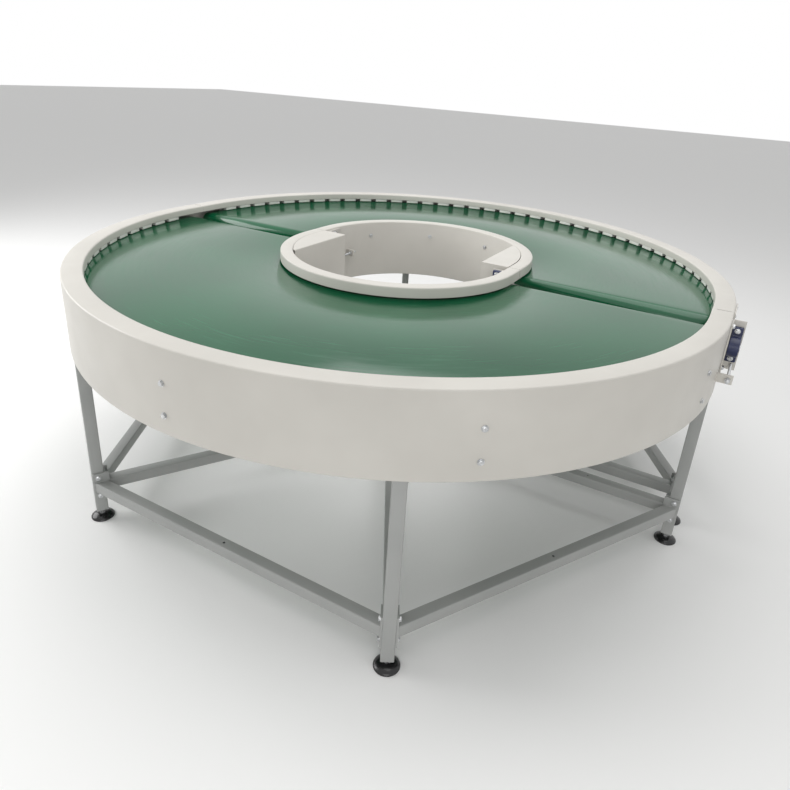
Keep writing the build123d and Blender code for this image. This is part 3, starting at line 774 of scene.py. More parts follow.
# %% Bolts
def ring(radius, sides, z, start=0.0):
    """A level ring of points."""
    t = start + np.linspace(0, 2 * np.pi, sides, endpoint=False)
    return np.column_stack([radius * np.cos(t), radius * np.sin(t), np.full(sides, z)])


def hexagon_head(radius, low, high):
    """Hexagonal prism with its upper edge chamfered by an eighth of its radius."""
    edge = radius / 8
    return skin(np.array([ring(radius, 6, low), ring(radius, 6, high - edge),
                          ring(radius - 1.6 * edge, 6, high)]))


def washer(radius, low, high, sides=20):
    """Flat round washer."""
    return skin(np.array([ring(radius, sides, low), ring(radius, sides, high)]))


def bolt(radius=8 * MM, height=7 * MM):
    """Hexagon head on a washer, standing on the XY plane."""
    return [washer(1.22 * radius, 0, 1.6 * MM), hexagon_head(radius, 1.6 * MM, height)]


def facing(x, y, z, azimuth, parts):
    """Stand parts built on the XY plane on an upright face at a point."""
    place = shift(x, y, z) @ spin(azimuth) @ spin(90, "Y")
    return [moved(part, place) for part in parts]


# %% [markdown]
# Each leg has a top plate under the skirt's bottom flange and is closed below by a plug, which
# holds the levelling foot's thread. The plug's hole stays open for the stud.

# %% Legs
LEG_R = 1225 * MM
LEG_BOTTOM = 35 * MM
LEG_ANGLES = (0, 60, 120, 180)
LEG_PLATE = 68 * MM
STUD_R = 6 * MM


def ring_plug(radius, bore, low, high, x, size):
    """Square plug with a round bore: outer square and inner circle joined by a grid."""
    count = 40
    t = np.linspace(0, 2 * np.pi, count, endpoint=False)
    circle = np.stack([np.cos(t), np.sin(t)], -1)
    edge = circle / abs(circle).max(1, keepdims=True) * size / 2
    rows = [(edge, low), (edge, high), (circle * bore, high), (circle * bore, low)]
    return skin(np.array([np.column_stack([x + flat[:, 0], flat[:, 1], np.full(count, z)])
                          for flat, z in rows]), round_rows=True)


def leg_parts():
    """One leg on the +X axis: tube, bottom plug, top plate and the bead between them."""
    top = SKIRT_LOW - PLATE_T

    def ends(outline):
        return [np.column_stack([LEG_R + outline[:, 0], outline[:, 1], np.full(len(outline), z)])
                for z in (LEG_BOTTOM, top)]

    plate_out = LEG_R + TUBE / 2
    plate = block((plate_out - LEG_PLATE, -TUBE / 2, top), (plate_out, TUBE / 2, SKIRT_LOW), 3 * MM)
    h = TUBE / 2 - 2 * MM
    inner = LEG_R - TUBE / 2
    beads = [bead((inner, -h, top), (inner, h, top)),
             bead((inner + 3 * MM, -TUBE / 2, top), (plate_out - 4 * MM, -TUBE / 2, top), 2 * MM),
             bead((inner + 3 * MM, TUBE / 2, top), (plate_out - 4 * MM, TUBE / 2, top), 2 * MM)]
    plug = ring_plug(0, STUD_R + 0.05 * MM, LEG_BOTTOM, LEG_BOTTOM + 8 * MM, LEG_R,
                     TUBE - 2 * WALL)
    return [tube_rows(ends), plug, plate] + beads


def build_legs(half):
    """The four legs of a half."""
    leg = leg_parts()
    parts = [part for angle in LEG_ANGLES for part in around(angle, leg)]
    piece(f"legs_{half}_tubes", in_half(parts, half), LEG_ENAMEL, "table",
          [f"legs_{half}"])


both_halves(build_legs)


# %% [markdown]
# A rail runs between two legs and is welded at each end to an upright plate, which is bolted to
# the leg. The tube's ends are mitred, because the legs stand square to their own radius. In the
# rail's frame the end lies where x = (s h - m) / c, where h is the distance from the centre,
# m the plate's face from the leg's middle, and s and c the sine and cosine of half a step.

# %% Perimeter rails
RAIL_Z = 142 * MM
LEG_FACE = TUBE / 2 + PLATE_T
RAIL_OUT = 6 * MM
PLATE_H = 110 * MM
PLATE_OUTER = 18 * MM
PLATE_INNER = 36 * MM
HOLE_R = 4.5 * MM
HALF_STEP = 30.0


def upright_plate(side):
    """Plate on a leg's side face, in the leg's frame, with rounded corners."""
    y = side * TUBE / 2
    low, high = LEG_R - PLATE_INNER, LEG_R + PLATE_OUTER
    outline = rounded([(low, RAIL_Z - PLATE_H / 2), (high, RAIL_Z - PLATE_H / 2),
                       (high, RAIL_Z + PLATE_H / 2), (low, RAIL_Z + PLATE_H / 2)], 4 * MM, 3)
    rows = [np.column_stack([outline[:, 0], np.full(len(outline), y + side * d), outline[:, 1]])
            for d in (0, PLATE_T)]
    return skin(np.array(rows))


def rail_parts():
    """One rail across -Y: the mitred tube, its two plates and the beads round its ends."""
    reach = (LEG_R + RAIL_OUT) * np.cos(np.radians(HALF_STEP))
    s, c = np.sin(np.radians(HALF_STEP)), np.cos(np.radians(HALF_STEP))

    def ends(outline):
        y = -reach + outline[:, 0]
        x = (-LEG_FACE - y * s) / c
        return [np.column_stack([sign * x, y, RAIL_Z + outline[:, 1]]) for sign in (-1, 1)]

    parts = [tube_rows(ends)]
    for side in (1, -1):
        leg_place = spin(side * HALF_STEP - 90)
        parts.append(moved(upright_plate(-side), leg_place))
        corners = ends(square(TUBE, 0.1 * MM, 1))[(side + 1) // 2]
        four = corners[::2]
        parts += [bead(four[k], four[(k + 1) % 4]) for k in range(4)]
    hole = round_bar((0, -reach, RAIL_Z - TUBE), (0, -reach, RAIL_Z + TUBE), HOLE_R)
    return parts, hole


def build_rails(half):
    """The three rails of a half, each with its bolt hole in the middle."""
    parts, hole = rail_parts()
    parts[0] = carved(parts[0], [hole])
    turned_parts = [moved(part, spin(90 - a)) for a in (30, 90, 150) for part in parts]
    piece(f"rails_{half}_tubes", in_half(turned_parts, half), LEG_ENAMEL, "table",
          [f"rails_{half}"])


both_halves(build_rails)


# %% [markdown]
# Under each seam a long chord rail joins the two end legs, and two struts run from its middle to
# the front legs, so each half stands stiffly by itself.

# %% Cross frame
CHORD_HOLE = LEG_R - 325 * MM
JOINT_W = 120 * MM
JOINT_H = 44 * MM


def end_plate_x(x, outwards):
    """Upright plate square to X that closes a tube's end."""
    low, high = sorted((x, x + outwards * PLATE_T))
    outline = rounded([(-TUBE / 2, RAIL_Z - PLATE_H / 2), (TUBE / 2, RAIL_Z - PLATE_H / 2),
                       (TUBE / 2, RAIL_Z + PLATE_H / 2), (-TUBE / 2, RAIL_Z + PLATE_H / 2)],
                      4 * MM, 3)
    rows = [np.column_stack([np.full(len(outline), v), outline]) for v in (low, high)]
    return skin(np.array(rows))


def collar(x, y=0.0):
    """Four beads round a tube's end, where it meets its plate."""
    h = TUBE / 2
    corners = [(x, y - h, RAIL_Z - h), (x, y + h, RAIL_Z - h), (x, y + h, RAIL_Z + h),
               (x, y - h, RAIL_Z + h)]
    return [bead(corners[k], corners[(k + 1) % 4]) for k in range(4)]


def strut_parts(angle):
    """One strut in its own frame, where u is the distance from the centre and v the offset to
    its side. Its near end meets the joint plate, where u s - v c = -front, and no point of it
    passes the middle plane, where u c + v s = 0."""
    front = -TUBE / 2 - PLATE_T
    c, s = np.cos(np.radians(angle)), np.sin(np.radians(angle))
    far = LEG_R - LEG_FACE

    def ends(outline):
        v = outline[:, 0]
        near = np.maximum((-front + v * c) / s, -v * s / c)
        return [np.column_stack([u + 0 * v, v, RAIL_Z + outline[:, 1]]) for u in (near, far)]

    return around(angle, [tube_rows(ends), end_plate_x(far, 1)] + collar(far))


def build_cross_frame(half):
    """Chord rail with its plates and holes, the joint plate and both struts."""
    reach = LEG_R - LEG_FACE
    holes = [round_bar((x, 0, RAIL_Z - TUBE), (x, 0, RAIL_Z + TUBE), HOLE_R)
             for x in (CHORD_HOLE, -CHORD_HOLE)]
    chord = carved(tube_x(-reach, reach, 0, RAIL_Z), holes)
    parts = [chord, end_plate_x(reach, 1), end_plate_x(-reach, -1)]
    parts += collar(reach) + collar(-reach)
    front = -TUBE / 2 - PLATE_T
    parts.append(block((-JOINT_W / 2, front, RAIL_Z - JOINT_H / 2),
                       (JOINT_W / 2, -TUBE / 2, RAIL_Z + JOINT_H / 2), 2 * MM))
    parts += strut_parts(60) + strut_parts(120)
    piece(f"cross_frame_{half}_tubes", in_half(parts, half), LEG_ENAMEL, "table",
          [f"cross_frame_{half}"])


both_halves(build_cross_frame)


# %% [markdown]
# Bolt heads show in pairs on the skirt, where the bed beams and the lower ties are fastened, and
# singly on the hub wall, where the ledge is. Others hold the rails' plates to the legs.

# %% Bolt heads
BEAM_AZIMUTHS = (12, 51, 90, 129, 168)
HUB_BOLT_AZIMUTHS = (31.5, 70.5, 109.5, 148.5)
BOLT_R = 8 * MM
END_BOLT = 37 * MM


def build_bolts(half):
    """The bolts of a half: skirt and hub wall in one node, leg frame in the other."""
    sides = []
    for azimuth in BEAM_AZIMUTHS:
        for drop in (105 * MM, 200 * MM):
            sides += around(azimuth, facing(RIM_R, 0, RIM_TOP - drop, 0, bolt()))
    seat = np.sqrt(HUB_IN ** 2 - BOLT_R ** 2)
    for azimuth in HUB_BOLT_AZIMUTHS:
        sides += around(azimuth, facing(seat, 0, RIM_TOP - 65 * MM, 180, bolt()))
    piece(f"side_bolts_{half}_heads", in_half(sides, half), ZINC, "table",
          [f"side_bolts_{half}"])
    legs = []
    for angle in LEG_ANGLES:
        faces = {0: (-1,), 180: (1,)}.get(angle, (1, -1))
        for z in (RAIL_Z + END_BOLT, RAIL_Z - END_BOLT):
            legs += around(angle, facing(LEG_R - LEG_FACE, 0, z, 180, bolt()))
            for side in faces:
                legs += around(angle, facing(LEG_R, side * LEG_FACE, z, 90 * side, bolt()))
    piece(f"frame_bolts_{half}_heads", in_half(legs, half), ZINC, "table",
          [f"frame_bolts_{half}"])


both_halves(build_bolts)


# %% [markdown]
# A levelling foot is a moulded pad with a soft dome, a steel nut that is turned to raise or lower
# the table, and a threaded stud that goes up into the leg. The dome is a profile turned about the
# upright axis. The thread is a grid too: its radius rises and falls with height minus turn.

# %% Levelling feet
PAD_R = 40 * MM
PAD_EDGE = 4 * MM
PAD_H = 17 * MM
PAD_NECK = 13 * MM
FOOT_NUT = 10 * MM
STUD_REACH = 42 * MM


def upright_lathe(profile, steps=48):
    """A profile of (radius, height) turned about the Z axis."""
    t = np.linspace(0, 2 * np.pi, steps, endpoint=False)
    profile = np.asarray(profile, float)
    x = profile[:, :1] * np.cos(t)
    y = profile[:, :1] * np.sin(t)
    z = np.broadcast_to(profile[:, 1:], x.shape)
    return skin(np.stack([x, y, z], -1))


def thread(radius, low, high, pitch, steps=20, rows_per_turn=8):
    """Threaded rod: radius r - 0.55 depth (1 - cos(2 pi (z / pitch - t / 2 pi))) on a grid of
    height and turn, so that the crest climbs one pitch a turn."""
    count = int((high - low) / pitch * rows_per_turn)
    z = np.linspace(low, high, count + 1)[:, None]
    t = np.linspace(0, 2 * np.pi, steps, endpoint=False)[None]
    depth = 0.3 * pitch
    r = radius - depth * (1 - np.cos(2 * np.pi * z / pitch - t))
    r[[0, -1]] = radius - 2 * depth
    return skin(np.stack([r * np.cos(t), r * np.sin(t), z + 0 * t], -1))


def build_foot(half, number, angle):
    """Pad, nut and stud of one foot, in two pieces because they have different finishes."""
    node_name = f"foot_{half}_{number}"
    place = spin(-angle) @ shift(LEG_R, 0, 0)
    u = np.linspace(0, np.pi / 2, 9)
    dome = np.stack([PAD_NECK + (PAD_R - PAD_NECK) * np.cos(u) ** 1.25,
                     PAD_EDGE + (PAD_H - PAD_EDGE) * np.sin(u) ** 1.35], -1)
    profile = np.concatenate([[(PAD_R - 1.2 * MM, 0), (PAD_R, 1.2 * MM)], dome])
    pad = moved(upright_lathe(profile), place)
    piece(f"{node_name}_pad", in_half([pad], half), FOOT_BLACK, node_name,
          [node_name])
    nut_top = PAD_H + FOOT_NUT
    nut = hexagon_head(PAD_NECK - 2 * MM, PAD_H, nut_top)
    stud = thread(STUD_R, nut_top, LEG_BOTTOM + STUD_REACH, 1.75 * MM)
    steel = [moved(part, place) for part in (nut, stud)]
    piece(f"{node_name}_stud", in_half(steel, half), ZINC, node_name, [node_name])


for half in HALVES:
    for number, angle in enumerate(LEG_ANGLES, 1):
        build_foot(half, number, angle)


# %% [markdown]
# White nylon blocks on the skirt keep the fan's outer edge down and stop it from creeping towards
# the hub. Each upper block hooks over the edge from above. Each lower one is a fork that the
# return run passes through. Both are a section in the radius and height plane, carried straight.

# %% Edge guides
GUIDE_COUNT = 38
GUIDE_FIRST = 6.0
GUIDE_L = 66 * MM
GUIDE_REACH = 64 * MM
GUIDE_TAIL = 19 * MM
GUIDE_NOSE = 12 * MM
GUIDE_GAP = 1 * MM
GUIDE_SIDE = 3 * MM
GUIDE_MOUTH = 20 * MM
RETURN_AZIMUTHS = (25, 38, 64, 77, 103, 116, 142, 155)
GUIDE_WALL = np.sqrt((RIM_R - SHEET) ** 2 - (GUIDE_L / 2) ** 2)


def carried(corners, radius=1.5 * MM):
    """A section (corners of radius and height) carried straight along Y, with its ends drawn in
    a little so that its edges are soft."""
    outline = rounded(corners, radius, 2)
    middle = outline.mean(0)
    soft = 1.2 * MM
    rows = []
    for y, inset in ((-GUIDE_L / 2, 1), (-GUIDE_L / 2 + soft, 0), (GUIDE_L / 2 - soft, 0),
                     (GUIDE_L / 2, 1)):
        flat = outline - inset * soft * 0.6 * np.sign(outline - middle)
        rows.append(np.column_stack([flat[:, 0], np.full(len(flat), y), flat[:, 1]]))
    return skin(np.array(rows))


def return_face(r, gap):
    """Height of the return run's inner face at a radius: it falls by the tangent of twice the
    rollers' half-angle."""
    return BELT_UNDER - r * np.tan(2 * CONE) + gap


def build_guides(half):
    """The row of upper blocks and the eight forks of a half."""
    top = RIM_TOP - RIM_LIP - GUIDE_GAP
    nose = BELT_TOP + GUIDE_GAP
    side = BELT_R + GUIDE_SIDE
    upper = carried([(GUIDE_WALL, top), (GUIDE_WALL - GUIDE_REACH, top),
                     (GUIDE_WALL - GUIDE_REACH, nose), (side, nose), (side, top - GUIDE_TAIL),
                     (GUIDE_WALL, top - GUIDE_TAIL)])
    mouth = BELT_R - GUIDE_MOUTH
    below = -BELT_T - 2 * GUIDE_GAP
    fork = [(GUIDE_WALL, GUIDE_NOSE), (mouth, GUIDE_NOSE), (mouth, GUIDE_GAP), (side, GUIDE_GAP),
            (side, below), (mouth, below), (mouth, -GUIDE_NOSE), (GUIDE_WALL, -GUIDE_NOSE)]
    lower = carried([(r, return_face(r, gap)) for r, gap in fork], 1 * MM)
    pitch = (180 - 2 * GUIDE_FIRST) / (GUIDE_COUNT - 1)
    parts = [part for k in range(GUIDE_COUNT) for part in around(GUIDE_FIRST + k * pitch, [upper])]
    parts += [part for a in RETURN_AZIMUTHS for part in around(a, [lower])]
    piece(f"edge_guides_{half}_blocks", in_half(parts, half), NYLON, "table",
          [f"edge_guides_{half}"])


both_halves(build_guides)


# %% [markdown]
# The end rollers are turned cones on a shaft. The cone's tip lies at the arc centre under the
# belt, so every point of its skin moves as fast as the belt does there. The profile is turned
# about X, then tipped down by the cone's half-angle. The left roller is the mirror image.

# %% Conical rollers and their shafts
PILLOW_OFFSET = 23 * MM
PILLOW_W = 34 * MM
SHAFT_STAND = 4 * MM
SPROCKET_X = HUB_IN - 24 * MM - 11 * MM
SPROCKET_W = 7 * MM


def on_axis(side):
    """Matrix that lays a part built along X on the end roller's axis; side 1 right, -1 left."""
    tip = shift(0, 0, BELT_UNDER) @ Matrix.Rotation(CONE, 4, "Y")
    return tip if side > 0 else Matrix.Diagonal((-1, 1, 1, 1)) @ tip


def roller(inner_end, outer_end):
    """Shaft with chamfered, centre-drilled ends and the cone between them."""
    near = (BELT_IN - 4 * MM) * np.cos(CONE)
    far = (BELT_R + 4 * MM) * np.cos(CONE)
    clear = 0.3 * MM
    near_r, far_r = near * np.tan(CONE) - clear, far * np.tan(CONE) - clear
    chamfer, drill = 1 * MM, 3 * MM
    return lathe([
        (inner_end + 2 * MM, 0.4 * MM), (inner_end, drill), (inner_end, SHAFT_R - chamfer),
        (inner_end + chamfer, SHAFT_R), (near, SHAFT_R), (near, near_r - chamfer),
        (near + chamfer, near_r), (far - chamfer, far_r), (far, far_r - chamfer),
        (far, SHAFT_R), (outer_end - chamfer, SHAFT_R), (outer_end, SHAFT_R - chamfer),
        (outer_end, drill), (outer_end - 2 * MM, 0.4 * MM),
    ], 64)


def build_rollers(half):
    """Drive roller on the left, idler roller on the right, each on its own body."""
    drive = moved(roller(SPROCKET_X - SPROCKET_W, RIM_R - 1 * MM), on_axis(-1))
    piece(f"drive_roller_{half}_cone", in_half([drive], half), TURNED, f"drive_{half}",
          [f"drive_roller_{half}"])
    inner = HUB_SLIDE - PILLOW_OFFSET - PILLOW_W / 2 - SHAFT_STAND
    outer = RIM_R + PILLOW_OFFSET + PILLOW_W / 2 + SHAFT_STAND
    idler = moved(roller(inner, outer), on_axis(1))
    piece(f"idler_roller_{half}_cone", in_half([idler], half), TURNED, f"idler_{half}",
          [f"idler_roller_{half}"])


both_halves(build_rollers)


# %% [markdown]
# The idler shaft runs in two cast bearing blocks, one outside the skirt and one in the hub. Each
# casting is a round housing on a thick foot, which stands upright against the bracket's flange.
# The housing's face is recessed, and the insert bearing's steel ring sits in the recess; its two set
# screws are not drawn. Two bolts hold the foot, and a grease nipple stands on the housing's side.

# %% Bearing blocks of the take-up
PILLOW_R = 33 * MM
SEAT = 36 * MM
FOOT_T = 14 * MM


def block_casting(length):
    """Casting about the shaft's axis: foot and neck as a rounded outline in the YZ plane, with
    its edges drawn in, fused to a turned housing with a recess and the bore."""
    h, w = length / 2, PILLOW_W / 2
    neck = 0.85 * PILLOW_R
    base = SEAT - FOOT_T
    soft = 2 * MM
    corners = [(0, neck), (base, neck), (base, h), (SEAT, h), (SEAT, -h), (base, -h),
               (base, -neck), (0, -neck)]
    outline = rounded(corners, [2 * MM, 7 * MM, 4 * MM, 1 * MM, 1 * MM, 4 * MM, 7 * MM, 2 * MM], 4)
    drawn_in = rounded(
        [(soft, neck - soft), (base + soft, neck - soft), (base + soft, h - soft),
         (SEAT - 0.3 * MM, h - soft), (SEAT - 0.3 * MM, soft - h), (base + soft, soft - h),
         (base + soft, soft - neck), (soft, soft - neck)],
        [1 * MM, 8 * MM, 3 * MM, 1 * MM, 1 * MM, 3 * MM, 8 * MM, 1 * MM], 4)
    rows = [np.column_stack([np.full(len(o), x), o]) for x, o in (
        (-w, drawn_in), (-w + soft, outline), (w - soft, outline), (w, drawn_in))]
    foot = skin(np.array(rows))
    recess = 3 * MM
    side = [(w, 25 * MM), (w, PILLOW_R - soft), (w - soft, PILLOW_R)]
    other = [(-x, r) for x, r in side[::-1]]
    housing = lathe([(w, 24.9 * MM)] + side + other + [(-w, 24.9 * MM)], 64)
    solid = carved(foot, [housing], "UNION")
    bores = [round_bar((w - recess, 0, 0), (w + recess, 0, 0), 25 * MM, 48),
             round_bar((-w - recess, 0, 0), (recess - w, 0, 0), 25 * MM, 48),
             round_bar((-2 * w, 0, 0), (2 * w, 0, 0), SHAFT_R + 0.5 * MM, 48)]
    return carved(solid, bores)


def insert_ring():
    """Inner ring of the insert bearing in each recess, with a rounded lip and a seal groove."""
    w = PILLOW_W / 2
    bore = SHAFT_R + 0.05 * MM
    profile = [(w - 3 * MM, bore), (w - 0.6 * MM, bore), (w - 0.2 * MM, bore + 0.5 * MM),
               (w - 0.2 * MM, 17.5 * MM), (w - 0.8 * MM, 18 * MM), (w - 2.2 * MM, 18.2 * MM),
               (w - 2.2 * MM, 20 * MM), (w - 1.4 * MM, 20.4 * MM), (w - 1.4 * MM, 24.8 * MM),
               (w - 3 * MM, 24.8 * MM)]
    x = np.array(profile)
    t = np.linspace(0, 2 * np.pi, 48, endpoint=False)
    rings = []
    for sign in (1, -1):
        grid = np.stack([sign * x[:, :1] + 0 * t, x[:, 1:] * np.cos(t), x[:, 1:] * np.sin(t)], -1)
        rings.append(skin(grid, round_rows=True))
    return rings


def grease_nipple():
    """A small turned nipple on a hexagon, standing on the XY plane."""
    stem = upright_lathe([(2.2 * MM, 1.8 * MM), (1.6 * MM, 2.6 * MM), (1.3 * MM, 4 * MM),
                          (1.9 * MM, 4.8 * MM), (1.2 * MM, 6 * MM)], 16)
    return [hexagon_head(3.4 * MM, 0, 2 * MM), stem]


def build_bearing_blocks(half):
    """Outer and inner block of the take-up, with their steel parts as pieces of their own."""
    for name, wall, side, length in (("outer", RIM_R, 1, 124 * MM), ("inner", HUB_SLIDE, -1, 104 * MM)):
        x = wall + side * PILLOW_OFFSET
        place = shift(x, 0, axis_height(x))
        casting = moved(block_casting(length), place)
        node_name = f"takeup_{name}_block_{half}"
        piece(f"{node_name}_casting", in_half([casting], half), NAVY_CAST, f"takeup_{half}",
              [node_name])
        steel = [moved(part, place @ Matrix.Rotation(CONE, 4, "Y")) for part in insert_ring()]
        for z in (length / 2 - 13 * MM, 13 * MM - length / 2):
            seat = place @ shift(0, SEAT - FOOT_T, z) @ spin(90, "X")
            steel += [moved(part, seat) for part in bolt(7.5 * MM, 8 * MM)]
        nipple = place @ shift(-side * 4 * MM, 0.7 * PILLOW_R, 0.7 * PILLOW_R) @ spin(-45, "X")
        steel += [moved(part, nipple) for part in grease_nipple()]
        piece(f"{node_name}_steel", in_half(steel, half), ZINC, f"takeup_{half}",
              [node_name])


both_halves(build_bearing_blocks)


# %% [markdown]
# Each block hangs on an angle of 5 mm steel that slides on the frame under two slots. Its screw
# is welded to the upright flange and passes through the frame's lug, where two nuts pull it. The
# bolts in the slots stay with the table, and the angle slides under their washers.

# %% Take-up angles, screws and slot bolts
ANGLE_T = 5 * MM
ANGLE_REACH = 44 * MM
ANGLE_TAIL = 40 * MM
SLOT_L = 36 * MM
SLOT_W = 9 * MM
SLOT_EDGE = 14 * MM
SCREW_TAIL = 32 * MM
TAKEUPS = {
    "outer": (RIM_R, 1, 14 * MM, 190 * MM, SCREW_Z),
    "inner": (HUB_SLIDE, -1, 8 * MM, 150 * MM, HUB_SCREW_Z),
}


def angle_slot(x, z):
    """Obround cutter through the angle's plate, its long side along Y."""
    straight = SLOT_L - SLOT_W
    return moved(slot_bar(x, z, SLOT_W / 2, straight, 4 * ANGLE_T), shift(0, straight / 2, 0))


def build_angle(wall, side, top, bottom):
    """Folded angle: an L in plan with a rounded bend, its slots and the shaft's way cut out."""
    t = ANGLE_T / 2
    back = SEAT + t
    plan = fold([(wall + side * t, -ANGLE_TAIL), (wall + side * t, back),
                 (wall + side * ANGLE_REACH, back)], ANGLE_T, 3.5 * MM, 4)
    rows = [np.column_stack([plan, np.full(len(plan), RIM_TOP - z)]) for z in (bottom, top)]
    x = wall + side * t
    cutters = [slot_bar(x, axis_height(x), WAY_R, 0, 4 * ANGLE_T)]
    cutters += [angle_slot(x, RIM_TOP - z) for z in (top + SLOT_EDGE, bottom - SLOT_EDGE)]
    return carved(skin(np.array(rows)), cutters)


def build_takeup(half):
    """Angles, screws, slot bolts and tension nuts of a half."""
    angles, screws, fixed = [], [], []
    for name, (wall, side, top, bottom, screw_z) in TAKEUPS.items():
        angles.append(build_angle(wall, side, top, bottom))
        x = wall + side * SCREW_OUT
        rod = thread(SCREW_R, -LUG_DISTANCE - SCREW_TAIL, SEAT + ANGLE_T, 1.5 * MM)
        lay = shift(x, 0, screw_z) @ spin(-90, "X")
        screws.append(moved(rod, lay))
        for z in (top + SLOT_EDGE, bottom - SLOT_EDGE):
            fixed += facing(wall + side * ANGLE_T, 0, RIM_TOP - z, 0 if side > 0 else 180, bolt())
        nuts = []
        for end in (1, -1):
            face = -LUG_DISTANCE + end * (LUG_T / 2 + 0.3 * MM)
            seat = shift(x, face, screw_z) @ spin(-90 * end, "X")
            nuts.append(moved(nut_shape(SCREW_R + 0.05 * MM, 9.5 * MM, 8 * MM), seat))
        piece(f"takeup_nuts_{name}_{half}_hexagons", in_half(nuts, half), ZINC,
              f"nuts_{name}_{half}", [f"takeup_nuts_{name}_{half}"])
    piece(f"takeup_angles_{half}", in_half(angles, half), FRAME_ENAMEL, f"takeup_{half}",
          [f"takeup_brackets_{half}"])
    piece(f"takeup_screws_{half}", in_half(screws, half), ZINC, f"takeup_{half}",
          [f"takeup_brackets_{half}"])
    piece(f"takeup_slot_bolts_{half}", in_half(fixed, half), ZINC, "table")


def nut_shape(bore, radius, height):
    """Hexagon nut with chamfered edges and an open bore, standing on the XY plane. Outside and
    bore have the same number of points a ring, so that one grid closes round both."""
    count = 24
    t = np.linspace(0, 2 * np.pi, count, endpoint=False)
    sector = (t + np.pi / 6) % (np.pi / 3) - np.pi / 6
    hexagon = radius * np.cos(np.pi / 6) / np.cos(sector)
    edge = np.minimum(hexagon, 0.93 * radius)
    profile = [(bore, 0), (edge, 0), (hexagon, 0.12 * height), (hexagon, 0.88 * height),
               (edge, height), (bore, height)]
    rows = [np.column_stack([r * np.cos(t), r * np.sin(t), np.full(count, z)])
            for r, z in profile]
    return skin(np.array(rows), round_rows=True)


both_halves(build_takeup)


# %% [markdown]
# The drive roller's bearings are round flanged housings inside the skirt and inside the hub. The
# hole outside the skirt is closed by a painted blank plate with four small bolts, so the two ends
# of a half look different.

# %% Drive bearings and blank plate
BEARING_R = 42 * MM
BEARING_W = 24 * MM
BLANK_W = 135 * MM
BLANK_H = 170 * MM
BLANK_DROP = 4 * MM
BLANK_T = 5 * MM


def flange_bearing(face):
    """Turned housing on a wall's inner face: a flange, a step and the bore. Its back is cut to
    the wall's own cylinder."""
    bore = SHAFT_R + 0.4 * MM
    x0, x1 = face - BEARING_W, face + 4 * MM
    t = np.linspace(0, 2 * np.pi, 64, endpoint=False)
    profile = np.array([(x1, bore), (x0 + 1 * MM, bore), (x0, bore + 1 * MM), (x0, 24 * MM),
                        (x0 + 3 * MM, 27 * MM), (x0 + 9 * MM, 29 * MM), (x0 + 11 * MM, 33 * MM),
                        (x0 + 11 * MM, BEARING_R - 1.5 * MM), (x0 + 12.5 * MM, BEARING_R),
                        (x1, BEARING_R)])
    grid = np.stack([profile[:, :1] + 0 * t, profile[:, 1:] * np.cos(t),
                     profile[:, 1:] * np.sin(t)], -1)
    housing = moved(skin(grid, round_rows=True), shift(0, 0, axis_height(face)))
    low, high = axis_height(face) - 2 * BEARING_R, axis_height(face) + 2 * BEARING_R
    inside = upright_lathe([(face, low), (face, high)], 256)
    return moved(carved(housing, [inside], "INTERSECT"), Matrix.Diagonal((-1, 1, 1, 1)))


def build_drive_bearings(half):
    """Two cast housings and the painted plate; both stand for the one node."""
    housings = [flange_bearing(RIM_R - SHEET), flange_bearing(HUB_IN)]
    node_name = f"drive_bearings_{half}"
    piece(f"{node_name}_housings", in_half(housings, half), NAVY_CAST, "table",
          [node_name])
    back = STUB - BLANK_DROP
    outline = rounded([(back - BLANK_W, RIM_TOP - BLANK_DROP - BLANK_H),
                       (back, RIM_TOP - BLANK_DROP - BLANK_H), (back, RIM_TOP - BLANK_DROP),
                       (back - BLANK_W, RIM_TOP - BLANK_DROP)], 5 * MM, 3)
    rows = [np.column_stack([np.full(len(outline), x), outline])
            for x in (-RIM_R - BLANK_T, -RIM_R)]
    piece(f"blank_plate_{half}", in_half([skin(np.array(rows))], half), FRAME_ENAMEL, "table",
          [node_name], bevel=0.8 * MM)
    edge = 14 * MM
    screws = []
    for y in (back - edge, back - BLANK_W + edge):
        for z in (RIM_TOP - BLANK_DROP - edge, RIM_TOP - BLANK_DROP - BLANK_H + edge):
            place = shift(-RIM_R - BLANK_T, y, z) @ spin(-90, "Y")
            screws.append(moved(upright_lathe([(5 * MM, 0), (4.6 * MM, 1.6 * MM),
                                               (2.6 * MM, 2.6 * MM)], 20), place))
    piece(f"blank_plate_screws_{half}", in_half(screws, half), ZINC, "table",
          [node_name])


both_halves(build_drive_bearings)


# %% [markdown]
# The cover over the drive is one folded sheet with an end wall. Its top is level with the hub's
# flange and follows the hub's circle, with a fine joint between them. The front is a chord of
# that circle. The grid's rows run along the chord, and the last column lies on the arc.

# %% Hub cover
COVER_CHORD = HUB_IN - 115 * MM
COVER_T = 2 * MM
COVER_JOINT = 1.2 * MM


